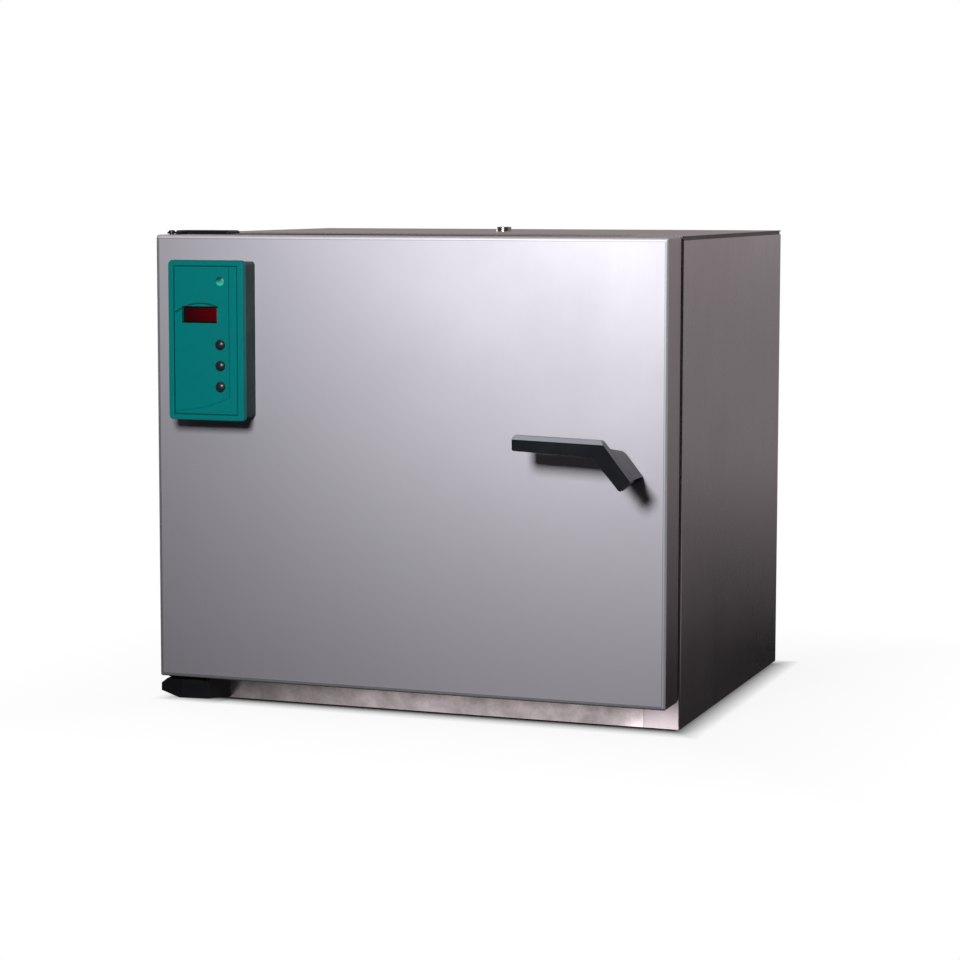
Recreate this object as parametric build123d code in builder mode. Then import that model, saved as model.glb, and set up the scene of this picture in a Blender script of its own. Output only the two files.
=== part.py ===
"""Bench drying oven: sheet steel cabinet, insulated chamber, swinging door, lever latch and controller.

Millimetres, +Z up, the door faces -Y. The origin is on the ground under the middle of the whole oven.
"""

from build123d import *
import os
from math import atan2, cos, sin

os.makedirs("parts", exist_ok=True)

# Sheet thicknesses and general fits
outer_sheet = 1.2
liner_sheet = 1.0
bend_radius = 2.2
panel_fit = 0.4
seam_gap = 0.5
insulation_fit = 0.5
running_fit = 0.05
seal_clearance = 0.3

# Cabinet
cabinet_width = 644.0
cabinet_depth = 486.5
cabinet_top_z = 576.0
foot_height = 4.0
shadow_gap = 3.8
side_front_return = 43.5
side_rear_return = 22.0
skirt_depth = 18.0
rail_flange = 10.0
screw_head_height = 2.0

# Door
door_side_margin = 2.0
door_top_margin = 1.0
door_thickness = 52.0
door_bottom_z = 36.5
door_gap = 5.5
door_edge_radius = 3.5
pan_flange = 12.0

# Handle and gland decide how deep the whole oven is
handle_projection = 60.0
gland_projection = 16.0

# Chamber
side_wall_depth = 72.0
roof_depth = 86.0
rear_wall_depth = 86.5
chamber_floor_z = 90.0
liner_flange = 27.0
mouth_radius = 3.0
rear_insulation = 40.0
insulation_setback = 14.5
fastener_room = 8.0

# Places worked out from the sizes above
overall_depth = handle_projection + door_thickness + door_gap + cabinet_depth + gland_projection
handle_front_y = -overall_depth / 2
door_front_y = handle_front_y + handle_projection
door_back_y = door_front_y + door_thickness
front_y = door_back_y + door_gap
rear_y = front_y + cabinet_depth
door_width = cabinet_width - 2 * door_side_margin
door_top_z = cabinet_top_z - door_top_margin
door_height = door_top_z - door_bottom_z
door_left_x = -door_width / 2
half_width = cabinet_width / 2
side_top_z = cabinet_top_z - outer_sheet - shadow_gap
return_edge_x = half_width - side_front_return
inset = outer_sheet + panel_fit
inner_rear_y = rear_y - 2 * outer_sheet - panel_fit
chamber_width = cabinet_width - 2 * side_wall_depth
chamber_depth = cabinet_depth - rear_wall_depth
chamber_roof_z = cabinet_top_z - roof_depth
chamber_height = chamber_roof_z - chamber_floor_z
half_chamber = chamber_width / 2
chamber_back_y = front_y + chamber_depth
flange_edge_x = return_edge_x - seam_gap
flange_low_z = chamber_floor_z - liner_flange
flange_high_z = chamber_roof_z + liner_flange
insulation_front_y = front_y + insulation_setback
service_y = chamber_back_y + liner_sheet + insulation_fit + rear_insulation


def front_plane(y):
    """The upright plane at depth y: its x is X, its y is Z, and it extrudes towards the front."""
    return Plane.XZ.offset(-y)


def folded_strip(points, bend, wall, side):
    """Draws the section of a bent sheet whose visible face runs through the points."""
    with BuildLine() as fold:
        FilletPolyline(*points, radius=bend)
        offset(amount=wall, side=side)
    make_face(fold.edges())


def save(builder, name):
    """Labels a finished piece and writes it."""
    builder.part.label = name
    export_step(builder.part, f"parts/{name}.step")


# Latch, shared by the lever, the door and the keeper
latch_inset = 48.0
latch_above_door_edge = 278.5
latch_x = half_width - latch_inset
latch_z = door_bottom_z + latch_above_door_edge
spindle_radius = 5.0
bushing_radius = 8.0
tongue_reach = 30.0
tongue_width = 12.0
tongue_thickness = 2.8
tongue_pin_radius = 3.5
keeper_sheet = 1.5
keeper_foot = 12.0
keeper_height = 40.0
keeper_clearance = 0.8
keeper_screw_radius = 2.0
keeper_screw_pitch = 28.0
tongue_back_y = front_y - seal_clearance
tongue_front_y = tongue_back_y - tongue_thickness
keeper_foot_x = latch_x + tongue_reach + keeper_clearance + keeper_sheet
keeper_screw_x = keeper_foot_x + keeper_foot / 2

# Vent tube through the top, cable gland through the rear
vent_x = 0.0
vent_before_back = 97.5
vent_y = chamber_back_y - vent_before_back
vent_outer_radius = 7.0
vent_bore_radius = 5.5
vent_collar_radius = 9.6
vent_above_top = 5.5
vent_below_roof = 6.0
vent_fit = 0.2
gland_inset = 122.0
gland_x = -half_width + gland_inset
gland_z = 62.0
gland_bore_radius = 4.0
gland_thread_radius = 8.0
gland_flange_radius = 12.0

# Hinge, shared by the brackets, pins, door blocks and bushes
hinge_inset = 10.0
hinge_setback = 24.0
hinge_x = door_left_x + hinge_inset
hinge_y = door_front_y + hinge_setback
upper_pin_radius = 3.0
lower_pin_radius = 4.0
bush_wall = 2.0
hinge_block_width = 20.0
hinge_block_depth = 28.0
hinge_block_height = 22.0
upper_arm_thickness = 2.0
upper_plate_thickness = 3.6
upper_plate_length = 72.0
upper_plate_depth = 34.0
upper_pin_head_radius = 4.2
upper_pin_head_height = 2.2
washer_thickness = 3.2
lower_bracket_low_z = 10.5
lower_bracket_high_z = door_bottom_z - seal_clearance - washer_thickness
hinge_screw_radius = 2.5
hinge_screw_pitch = 40.0
upper_screw_x = -half_width + upper_plate_length / 2
upper_screw_y = front_y + upper_plate_depth / 2
upper_screw_countersink = 2.0
lower_screw_head_height = 1.6
lower_screw_height = 11.5
lower_outer_screw_inset = 20.0
lower_inner_screw_inset = 50.0
lower_screw_z = lower_bracket_low_z + lower_screw_height
lower_outer_screw_x = door_left_x + lower_outer_screw_inset
lower_inner_screw_x = door_left_x + lower_inner_screw_inset

# Cabinet side panels, one bent sheet each with front and rear returns
with BuildPart() as right_side_panel:
    with BuildSketch(Plane.XY.offset(foot_height)):
        folded_strip(
            [
                (return_edge_x, front_y),
                (half_width, front_y),
                (half_width, rear_y - outer_sheet),
                (half_width - side_rear_return, rear_y - outer_sheet),
            ],
            bend_radius,
            outer_sheet,
            Side.LEFT,
        )
    extrude(amount=side_top_z - foot_height)
plain_side_panel = right_side_panel.part

with BuildPart() as left_side_panel:
    mirror(plain_side_panel, about=Plane.YZ)
    with BuildSketch(front_plane(front_y + outer_sheet)):
        with Locations((lower_outer_screw_x, lower_screw_z)):
            Circle(hinge_screw_radius)
    extrude(amount=outer_sheet, mode=Mode.SUBTRACT)
save(left_side_panel, "left_side_panel")

with BuildPart() as right_side_panel:
    add(plain_side_panel)
    with BuildSketch(front_plane(front_y + outer_sheet)):
        with Locations((keeper_screw_x, latch_z)):
            with GridLocations(0, keeper_screw_pitch, 1, 2):
                Circle(keeper_screw_radius)
    extrude(amount=outer_sheet, mode=Mode.SUBTRACT)
save(right_side_panel, "right_side_panel")

# Top panel: a flat lid with a skirt that drops inside the side panels, vent slots near the front
vent_slot_width = 4.2
vent_slot_length = 58.0
vent_slot_pitch = 9.3
vent_slot_margin = 70.0
vent_slot_count = int((cabinet_width - 2 * vent_slot_margin) // vent_slot_pitch)
vent_slot_setback = 45.0
vent_slot_centre_y = front_y + vent_slot_setback
lid_corner_radius = 2.0
skirt_front_y = front_y + inset
skirt_width = cabinet_width - 2 * inset
skirt_length = inner_rear_y - skirt_front_y
skirt_centre_y = (inner_rear_y + skirt_front_y) / 2

with BuildPart() as top_panel:
    with BuildSketch(Plane.XY.offset(cabinet_top_z - outer_sheet)):
        with Locations((0, (front_y + rear_y) / 2)):
            RectangleRounded(cabinet_width, cabinet_depth, lid_corner_radius)
        with Locations((0, vent_slot_centre_y)):
            with GridLocations(vent_slot_pitch, 0, vent_slot_count, 1):
                Rectangle(vent_slot_width, vent_slot_length, mode=Mode.SUBTRACT)
        with Locations((vent_x, vent_y)):
            Circle(vent_outer_radius + vent_fit, mode=Mode.SUBTRACT)
        with Locations((upper_screw_x, upper_screw_y)):
            with GridLocations(hinge_screw_pitch, 0, 2, 1):
                Circle(hinge_screw_radius, mode=Mode.SUBTRACT)
    extrude(amount=outer_sheet)
    with BuildSketch(Plane.XY.offset(cabinet_top_z - outer_sheet)):
        with Locations((0, skirt_centre_y)):
            Rectangle(skirt_width, skirt_length)
            Rectangle(
                skirt_width - 2 * outer_sheet, skirt_length - 2 * outer_sheet, mode=Mode.SUBTRACT
            )
    extrude(amount=-skirt_depth)
save(top_panel, "top_panel")

# Base pan: an open tray inside the feet of the side panels
pan_height = 12.0

with BuildPart() as base_pan:
    with BuildSketch(Plane.XY.offset(foot_height)):
        with Locations((0, skirt_centre_y)):
            RectangleRounded(skirt_width, skirt_length, lid_corner_radius)
    extrude(amount=pan_height)
    offset(amount=-outer_sheet, openings=base_pan.faces().sort_by(Axis.Z)[-1])
save(base_pan, "base_pan")

# Rear panel: a flat cover with cooling slots, screwed over the rear returns
rear_panel_margin = 2.0
rear_slot_width = 60.0
rear_slot_height = 4.0
rear_slot_columns = 3
rear_slot_rows = 6
rear_slot_pitch_x = 110.0
rear_slot_pitch_z = 14.0
rear_slot_drop = 131.0
rear_screw_radius = 2.0
rear_screw_rows = 4
rear_screw_edge = 28.5
rear_panel_width = cabinet_width - 2 * rear_panel_margin
rear_panel_low_z = foot_height + rear_panel_margin
rear_slot_z = side_top_z - rear_slot_drop
rear_screw_z = (foot_height + side_top_z) / 2
rear_screw_pitch_z = (side_top_z - foot_height - 2 * rear_screw_edge) / (rear_screw_rows - 1)
rear_screw_span = cabinet_width - side_rear_return - 4 * rear_panel_margin

with BuildPart() as rear_panel:
    with BuildSketch(front_plane(rear_y)):
        with Locations((0, (rear_panel_low_z + side_top_z) / 2)):
            RectangleRounded(rear_panel_width, side_top_z - rear_panel_low_z, lid_corner_radius)
        with Locations((0, rear_slot_z)):
            with GridLocations(
                rear_slot_pitch_x, rear_slot_pitch_z, rear_slot_columns, rear_slot_rows
            ):
                Rectangle(rear_slot_width, rear_slot_height, mode=Mode.SUBTRACT)
        with Locations((0, rear_screw_z)):
            with GridLocations(rear_screw_span, rear_screw_pitch_z, 2, rear_screw_rows):
                Circle(rear_screw_radius, mode=Mode.SUBTRACT)
        with Locations((gland_x, gland_z)):
            Circle(gland_thread_radius + vent_fit, mode=Mode.SUBTRACT)
    extrude(amount=outer_sheet)
save(rear_panel, "rear_panel")


def screw(head_radius, head_height, shank_radius, shank_length):
    """A pan head screw on the local origin: the head stands above the seat, the shank goes below."""
    with BuildPart() as body:
        with BuildSketch(Plane.YZ):
            with BuildLine():
                Polyline(
                    (0, head_height),
                    (0, -shank_length),
                    (shank_radius, -shank_length),
                    (shank_radius, 0),
                    (head_radius, 0),
                    (head_radius - head_height / 2, head_height),
                    close=True,
                )
            make_face()
        revolve(axis=Axis.Z)
    return body.part


rear_screw = screw(
    2 * rear_screw_radius, screw_head_height, rear_screw_radius - running_fit, outer_sheet
)

with BuildPart() as rear_panel_screws:
    with Locations(Plane(origin=(0, rear_y, rear_screw_z), x_dir=(1, 0, 0), z_dir=(0, 1, 0))):
        with GridLocations(rear_screw_span, rear_screw_pitch_z, 2, rear_screw_rows):
            add(rear_screw)
save(rear_panel_screws, "rear_panel_screws")

# Front rails above and below the chamber, each with a flange folded to the rear
rail_edge_z = flange_low_z - seam_gap
upper_rail_edge_z = flange_high_z + seam_gap

with BuildPart() as lower_front_rail:
    with BuildSketch(Plane.YZ):
        folded_strip(
            [
                (front_y, foot_height),
                (front_y, rail_edge_z),
                (front_y + rail_flange, rail_edge_z),
            ],
            bend_radius,
            outer_sheet,
            Side.RIGHT,
        )
    extrude(amount=flange_edge_x, both=True)
    with BuildSketch(front_plane(front_y + outer_sheet)):
        with Locations((lower_inner_screw_x, lower_screw_z)):
            Circle(hinge_screw_radius)
    extrude(amount=outer_sheet, mode=Mode.SUBTRACT)
save(lower_front_rail, "lower_front_rail")

with BuildPart() as upper_front_rail:
    with BuildSketch(Plane.YZ):
        folded_strip(
            [
                (front_y + rail_flange, upper_rail_edge_z),
                (front_y, upper_rail_edge_z),
                (front_y, side_top_z),
            ],
            bend_radius,
            outer_sheet,
            Side.RIGHT,
        )
    extrude(amount=flange_edge_x, both=True)
save(upper_front_rail, "upper_front_rail")

# Chamber liner: five folded stainless sheets that meet edge to edge
with BuildPart() as liner_right_wall:
    with BuildSketch(Plane.XY.offset(chamber_floor_z)):
        folded_strip(
            [(flange_edge_x, front_y), (half_chamber, front_y), (half_chamber, chamber_back_y)],
            mouth_radius,
            liner_sheet,
            Side.RIGHT,
        )
    extrude(amount=chamber_height)
save(liner_right_wall, "liner_right_wall")

with BuildPart() as liner_left_wall:
    mirror(liner_right_wall.part, about=Plane.YZ)
save(liner_left_wall, "liner_left_wall")

ear_width = flange_edge_x - half_chamber - liner_sheet


def cap_sheet(flange_z, wall_z, side):
    """The roof or floor of the liner: a sheet as wide as the chamber and a full width front flange."""
    with BuildPart() as sheet:
        with BuildSketch(Plane.YZ):
            folded_strip(
                [(front_y, flange_z), (front_y, wall_z), (chamber_back_y, wall_z)],
                mouth_radius,
                liner_sheet,
                side,
            )
        extrude(amount=half_chamber + liner_sheet, both=True)
        with BuildSketch(front_plane(front_y + liner_sheet)):
            with Locations((0, (flange_z + wall_z) / 2)):
                with GridLocations(2 * half_chamber + 2 * liner_sheet + ear_width, 0, 2, 1):
                    Rectangle(ear_width, liner_flange)
        extrude(amount=liner_sheet)
    return sheet.part


with BuildPart() as liner_roof:
    add(cap_sheet(flange_high_z, chamber_roof_z, Side.LEFT))
    with BuildSketch(Plane.XY.offset(chamber_roof_z)):
        with Locations((vent_x, vent_y)):
            Circle(vent_outer_radius + vent_fit)
    extrude(amount=liner_sheet, mode=Mode.SUBTRACT)
save(liner_roof, "liner_roof")

with BuildPart() as liner_floor:
    add(cap_sheet(flange_low_z, chamber_floor_z, Side.RIGHT))
save(liner_floor, "liner_floor")

# Heaters under the chamber floor plate, and what passes through the back of the liner
heater_radius = 4.0
heater_height = 13.0
heater_z = chamber_floor_z + heater_height
heater_loop_width = 130.0
heater_loop_pitch = 240.0
heater_front_gap = 60.0
heater_loop_length = chamber_depth - heater_front_gap
heater_bend = 45.0
heater_fit = 0.4
terminal_radius = 5.0
terminal_length = 18.0
terminal_stud_radius = 2.5
terminal_stud_length = 10.0
heater_tail = 24.0
heater_end_y = chamber_back_y + heater_tail
probe_radius = 3.0
probe_z = chamber_floor_z + 0.82 * chamber_height
probe_length = 150.0
probe_flange_radius = 9.0
probe_flange_thickness = 2.0


def heater_leads(radius):
    """Circles where the four heater leads cross an upright sheet."""
    with Locations((0, heater_z)):
        with GridLocations(heater_loop_pitch, 0, 2, 1):
            with GridLocations(heater_loop_width, 0, 2, 1):
                Circle(radius)


with BuildPart() as liner_back:
    with BuildSketch(front_plane(chamber_back_y + liner_sheet)):
        with Locations((0, (chamber_floor_z + chamber_roof_z) / 2)):
            Rectangle(chamber_width + 2 * liner_sheet, chamber_height + 2 * liner_sheet)
    extrude(amount=liner_sheet)
    with BuildSketch(front_plane(chamber_back_y + liner_sheet)):
        heater_leads(heater_radius + heater_fit)
        with Locations((0, probe_z)):
            Circle(probe_radius + heater_fit)
    extrude(amount=liner_sheet, mode=Mode.SUBTRACT)
save(liner_back, "liner_back")

with BuildPart() as tubular_heaters:
    for loop_x in (-heater_loop_pitch / 2, heater_loop_pitch / 2):
        with BuildLine(Plane.XY.offset(heater_z)) as route:
            FilletPolyline(
                (loop_x - heater_loop_width / 2, heater_end_y),
                (loop_x - heater_loop_width / 2, chamber_back_y - heater_loop_length),
                (loop_x + heater_loop_width / 2, chamber_back_y - heater_loop_length),
                (loop_x + heater_loop_width / 2, heater_end_y),
                radius=heater_bend,
            )
        with BuildSketch(Plane(origin=route.line @ 0, z_dir=route.line % 0)):
            Circle(heater_radius)
        sweep(path=route.line)
save(tubular_heaters, "tubular_heaters")

with BuildPart() as heater_terminals:
    with BuildSketch(front_plane(heater_end_y + terminal_length)):
        heater_leads(terminal_radius)
    extrude(amount=terminal_length)
    with BuildSketch(front_plane(heater_end_y + terminal_length + terminal_stud_length)):
        heater_leads(terminal_stud_radius)
    extrude(amount=terminal_stud_length)
save(heater_terminals, "heater_terminals")

with BuildPart() as temperature_probe:
    with BuildSketch(front_plane(service_y)):
        with Locations((0, probe_z)):
            Circle(probe_radius)
    extrude(amount=service_y - chamber_back_y + probe_length)
    chamfer(temperature_probe.faces().sort_by(Axis.Y)[0].edges(), probe_radius / 2)
    with BuildSketch(front_plane(chamber_back_y)):
        with Locations((0, probe_z)):
            Circle(probe_flange_radius)
    extrude(amount=probe_flange_thickness)
save(temperature_probe, "temperature_probe")

# Perforated plate over the heaters, folded down at the front and rear to stand on the floor
cover_fit = 1.0
cover_height = 26.0
cover_front_gap = 14.0
cover_slot_length = 90.0
cover_slot_width = 7.0
cover_slot_pitch_x = 115.0
cover_slot_pitch_y = 40.0
cover_front_y = front_y + cover_front_gap
cover_back_y = chamber_back_y - cover_front_gap
cover_slot_columns = int(chamber_width // cover_slot_pitch_x)
cover_slot_rows = int((cover_back_y - cover_front_y) // cover_slot_pitch_y) - 1
cover_top_z = chamber_floor_z + cover_height

with BuildPart() as heater_cover:
    with BuildSketch(Plane.YZ):
        folded_strip(
            [
                (cover_front_y, chamber_floor_z),
                (cover_front_y, cover_top_z),
                (cover_back_y, cover_top_z),
                (cover_back_y, cover_top_z - cover_height / 3),
            ],
            bend_radius,
            liner_sheet,
            Side.RIGHT,
        )
    extrude(amount=half_chamber - cover_fit, both=True)
    with BuildSketch(Plane.XY.offset(cover_top_z - liner_sheet)):
        with Locations((0, (cover_front_y + cover_back_y) / 2)):
            with GridLocations(
                cover_slot_pitch_x, cover_slot_pitch_y, cover_slot_columns, cover_slot_rows
            ):
                Rectangle(cover_slot_length, cover_slot_width)
    extrude(amount=liner_sheet, mode=Mode.SUBTRACT)
save(heater_cover, "heater_cover")

# Shelf runners: folded angles on both walls, and two slotted shelves that lie on them
runner_pitch = 58.0
runner_first_height = 60.0
runner_first_z = chamber_floor_z + runner_first_height
runner_count = int((chamber_height - runner_first_height) // runner_pitch) + 1
runner_reach = 12.0
runner_drop = 9.0
runner_front_gap = 26.0
runner_back_gap = 34.0
runner_front_y = front_y + runner_front_gap
runner_length = chamber_depth - runner_front_gap - runner_back_gap
shelf_fit = 2.0
shelf_sheet = 1.2
shelf_lip = 9.0
shelf_overhang = 4.0
shelf_length = runner_length + 2.5 * shelf_overhang
shelf_front_y = runner_front_y - shelf_overhang
shelf_slot_length = 92.0
shelf_slot_width = 9.0
shelf_slot_pitch_x = 112.0
shelf_slot_pitch_y = 24.0
shelf_slot_columns = int(chamber_width // shelf_slot_pitch_x)
shelf_slot_rows = int(shelf_length // shelf_slot_pitch_y) - 1
lower_shelf_step = 1
upper_shelf_step = 3

with BuildPart() as right_shelf_runners:
    with BuildSketch(front_plane(runner_front_y + runner_length)):
        for step in range(runner_count):
            runner_z = runner_first_z + step * runner_pitch
            folded_strip(
                [
                    (half_chamber - runner_reach, runner_z),
                    (half_chamber, runner_z),
                    (half_chamber, runner_z - runner_drop),
                ],
                bend_radius,
                liner_sheet,
                Side.RIGHT,
            )
    extrude(amount=runner_length)
save(right_shelf_runners, "right_shelf_runners")

with BuildPart() as left_shelf_runners:
    mirror(right_shelf_runners.part, about=Plane.YZ)
save(left_shelf_runners, "left_shelf_runners")


def slotted_shelf(seat_z):
    """A shelf that lies on the runners at seat_z, with turned up lips at the front and rear."""
    with BuildPart() as shelf:
        with BuildSketch(Plane.YZ):
            folded_strip(
                [
                    (shelf_front_y, seat_z + shelf_lip),
                    (shelf_front_y, seat_z),
                    (shelf_front_y + shelf_length, seat_z),
                    (shelf_front_y + shelf_length, seat_z + shelf_lip),
                ],
                bend_radius,
                shelf_sheet,
                Side.LEFT,
            )
        extrude(amount=half_chamber - shelf_fit, both=True)
        with BuildSketch(Plane.XY.offset(seat_z)):
            with Locations((0, shelf_front_y + shelf_length / 2)):
                with GridLocations(
                    shelf_slot_pitch_x, shelf_slot_pitch_y, shelf_slot_columns, shelf_slot_rows
                ):
                    Rectangle(shelf_slot_length, shelf_slot_width)
        extrude(amount=shelf_sheet, mode=Mode.SUBTRACT)
    return shelf.part


for shelf_name, shelf_step in (
    ("lower_shelf", lower_shelf_step),
    ("upper_shelf", upper_shelf_step),
):
    with BuildPart() as shelf:
        add(slotted_shelf(runner_first_z + shelf_step * runner_pitch))
    save(shelf, shelf_name)

# Insulation blankets between the liner and the casing
blanket_inner_x = half_chamber + liner_sheet + insulation_fit
blanket_outer_x = skirt_width / 2 - outer_sheet - insulation_fit
blanket_low_z = foot_height + outer_sheet + insulation_fit
blanket_high_z = cabinet_top_z - outer_sheet - fastener_room
liner_low_z = chamber_floor_z - liner_sheet - insulation_fit
liner_high_z = chamber_roof_z + liner_sheet + insulation_fit

with BuildPart() as insulation_right:
    with BuildSketch(Plane.XY.offset(blanket_low_z)):
        with Locations(((blanket_inner_x + blanket_outer_x) / 2, (insulation_front_y + service_y) / 2)):
            RectangleRounded(
                blanket_outer_x - blanket_inner_x, service_y - insulation_front_y, bend_radius
            )
    extrude(amount=blanket_high_z - blanket_low_z)
save(insulation_right, "insulation_right")

with BuildPart() as insulation_left:
    mirror(insulation_right.part, about=Plane.YZ)
save(insulation_left, "insulation_left")


def level_blanket(low_z, high_z):
    """A blanket above or below the liner, between the two side blankets."""
    with BuildPart() as blanket:
        with BuildSketch(Plane.XY.offset(low_z)):
            with Locations((0, (insulation_front_y + service_y) / 2)):
                RectangleRounded(
                    2 * (half_chamber + liner_sheet), service_y - insulation_front_y, bend_radius
                )
        extrude(amount=high_z - low_z)
    return blanket.part


with BuildPart() as insulation_top:
    add(level_blanket(liner_high_z, blanket_high_z))
    with BuildSketch(Plane.XY.offset(liner_high_z)):
        with Locations((vent_x, vent_y)):
            Circle(vent_outer_radius + insulation_fit)
    extrude(amount=blanket_high_z - liner_high_z, mode=Mode.SUBTRACT)
save(insulation_top, "insulation_top")

with BuildPart() as insulation_bottom:
    add(level_blanket(blanket_low_z, liner_low_z))
save(insulation_bottom, "insulation_bottom")

with BuildPart() as insulation_rear:
    with BuildSketch(front_plane(service_y)):
        with Locations((0, (liner_low_z + liner_high_z) / 2)):
            RectangleRounded(
                2 * (half_chamber + liner_sheet), liner_high_z - liner_low_z - insulation_fit, bend_radius
            )
        with Locations((0, probe_z)):
            Circle(probe_radius + insulation_fit, mode=Mode.SUBTRACT)
    extrude(amount=rear_insulation)
    with BuildSketch(front_plane(service_y)):
        heater_leads(terminal_radius + insulation_fit)
    extrude(amount=rear_insulation, mode=Mode.SUBTRACT)
save(insulation_rear, "insulation_rear")

# Vent tube from the chamber roof through the top panel
vent_low_z = chamber_roof_z - vent_below_roof
vent_high_z = cabinet_top_z + vent_above_top
vent_rim = 0.5

with BuildPart() as vent_tube:
    with BuildSketch(Plane.XY.offset(vent_low_z)):
        with Locations((vent_x, vent_y)):
            Circle(vent_outer_radius)
            Circle(vent_bore_radius, mode=Mode.SUBTRACT)
    extrude(amount=vent_high_z - vent_low_z)
    with BuildSketch(Plane.XY.offset(cabinet_top_z)):
        with Locations((vent_x, vent_y)):
            Circle(vent_collar_radius)
            Circle(vent_bore_radius, mode=Mode.SUBTRACT)
    extrude(amount=vent_above_top)
    chamfer(vent_tube.edges().group_by(Axis.Z)[-1].sort_by(SortBy.RADIUS)[-1], vent_rim)
save(vent_tube, "vent_tube")

# Feet: four thin rubber pads under the base pan
foot_radius = 16.0
foot_inset_x = 42.0
foot_inset_y = 43.25
foot_spacing_x = cabinet_width - 2 * foot_inset_x
foot_spacing_y = cabinet_depth - 2 * foot_inset_y
foot_bevel = 1.0

with BuildPart() as rubber_feet:
    with BuildSketch(Plane.XY):
        with Locations((0, skirt_centre_y)):
            with GridLocations(foot_spacing_x, foot_spacing_y, 2, 2):
                Circle(foot_radius)
    extrude(amount=foot_height)
    chamfer(rubber_feet.edges().group_by(Axis.Z)[0], foot_bevel)
save(rubber_feet, "rubber_feet")

# Service space: cable gland, terminal block and relay on the rear panel
gland_nut_thickness = 4.0
gland_hex_thickness = 6.0
gland_tail_radius = 7.5
gland_inner_length = gland_nut_thickness + outer_sheet

with BuildPart() as cable_gland:
    with BuildSketch(front_plane(rear_y + gland_hex_thickness)):
        with Locations((gland_x, gland_z)):
            RegularPolygon(gland_flange_radius, 6)
    extrude(amount=gland_hex_thickness)
    with BuildSketch(front_plane(rear_y)):
        with Locations((gland_x, gland_z)):
            Circle(gland_thread_radius)
    extrude(amount=gland_inner_length)
    with BuildSketch(front_plane(rear_y - outer_sheet)):
        with Locations((gland_x, gland_z)):
            RegularPolygon(gland_flange_radius, 6)
    extrude(amount=gland_nut_thickness)
    with BuildSketch(front_plane(rear_y + gland_projection)):
        with Locations((gland_x, gland_z)):
            Circle(gland_tail_radius)
    extrude(amount=gland_projection - gland_hex_thickness)
    chamfer(cable_gland.faces().sort_by(Axis.Y)[-1].edges(), foot_bevel)
    with BuildSketch(front_plane(rear_y + gland_projection)):
        with Locations((gland_x, gland_z)):
            Circle(gland_bore_radius)
    extrude(amount=gland_projection + gland_inner_length, mode=Mode.SUBTRACT)
save(cable_gland, "cable_gland")

block_width = 60.0
block_height = 24.0
block_depth = 18.0
block_poles = 5
block_screw_radius = 2.6
block_x = -90.0
block_z = 62.0

with BuildPart() as terminal_block:
    with BuildSketch(front_plane(rear_y - outer_sheet)):
        with Locations((block_x, block_z)):
            Rectangle(block_width, block_height)
    extrude(amount=block_depth)
    chamfer(terminal_block.faces().sort_by(Axis.Y)[0].edges(), foot_bevel)
    with BuildSketch(front_plane(rear_y - outer_sheet - block_depth / 2)):
        with Locations((block_x, block_z)):
            with GridLocations(block_width / block_poles, block_height / 2, block_poles, 2):
                Circle(block_screw_radius)
    extrude(amount=block_depth, mode=Mode.SUBTRACT)
save(terminal_block, "terminal_block")

relay_width = 45.0
relay_height = 58.0
relay_depth = 23.0
relay_x = 30.0
relay_z = 72.0
relay_terminal = 8.0

with BuildPart() as power_relay:
    with BuildSketch(front_plane(rear_y - outer_sheet)):
        with Locations((relay_x, relay_z)):
            RectangleRounded(relay_width, relay_height, bend_radius)
    extrude(amount=relay_depth)
    with BuildSketch(front_plane(rear_y - outer_sheet - relay_depth / 2)):
        with Locations((relay_x, relay_z)):
            with GridLocations(
                relay_width - relay_terminal, relay_height - relay_terminal, 2, 2
            ):
                Rectangle(relay_terminal, relay_terminal)
    extrude(amount=relay_depth, mode=Mode.SUBTRACT)
save(power_relay, "power_relay")

# Keeper: a cranked strip on the right front return, its lip stands in front of the latch tongue
lip_back_y = tongue_front_y - seal_clearance
lip_front_y = lip_back_y - keeper_sheet
lip_edge_x = latch_x + tongue_reach / 2
keeper_edge_radius = 0.5

with BuildPart() as latch_keeper:
    with BuildSketch(Plane.XY.offset(latch_z - keeper_height / 2)):
        with BuildLine():
            Polyline(
                (keeper_foot_x + keeper_foot, front_y),
                (keeper_foot_x - keeper_sheet, front_y),
                (keeper_foot_x - keeper_sheet, lip_back_y),
                (lip_edge_x, lip_back_y),
                (lip_edge_x, lip_front_y),
                (keeper_foot_x, lip_front_y),
                (keeper_foot_x, front_y - keeper_sheet),
                (keeper_foot_x + keeper_foot, front_y - keeper_sheet),
                close=True,
            )
        make_face()
    extrude(amount=keeper_height)
    fillet(latch_keeper.faces().sort_by(Axis.X)[0].edges().filter_by(Axis.Z), keeper_edge_radius)
    with BuildSketch(front_plane(front_y)):
        with Locations((keeper_screw_x, latch_z)):
            with GridLocations(0, keeper_screw_pitch, 1, 2):
                Circle(keeper_screw_radius)
    extrude(amount=keeper_sheet, mode=Mode.SUBTRACT)
save(latch_keeper, "latch_keeper")

keeper_screw_head_radius = 3.4
keeper_screw_head_height = 1.5
keeper_screw_end = 4.0
keeper_screw = screw(
    keeper_screw_head_radius,
    keeper_screw_head_height,
    keeper_screw_radius - running_fit,
    keeper_sheet + outer_sheet + keeper_screw_end,
)

with BuildPart() as keeper_screws:
    with Locations(front_plane(front_y - keeper_sheet)):
        with Locations((keeper_screw_x, latch_z)):
            with GridLocations(0, keeper_screw_pitch, 1, 2):
                add(keeper_screw)
save(keeper_screws, "keeper_screws")

# Upper hinge bracket: a plate on the cabinet top and a thinner arm that reaches over the door
arm_radius = 5.4
arm_overlap = 6.0
plate_chamfer = 2.0
countersink_radius = 4.5
upper_arm_top_z = cabinet_top_z + upper_arm_thickness
upper_plate_top_z = cabinet_top_z + upper_plate_thickness

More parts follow.
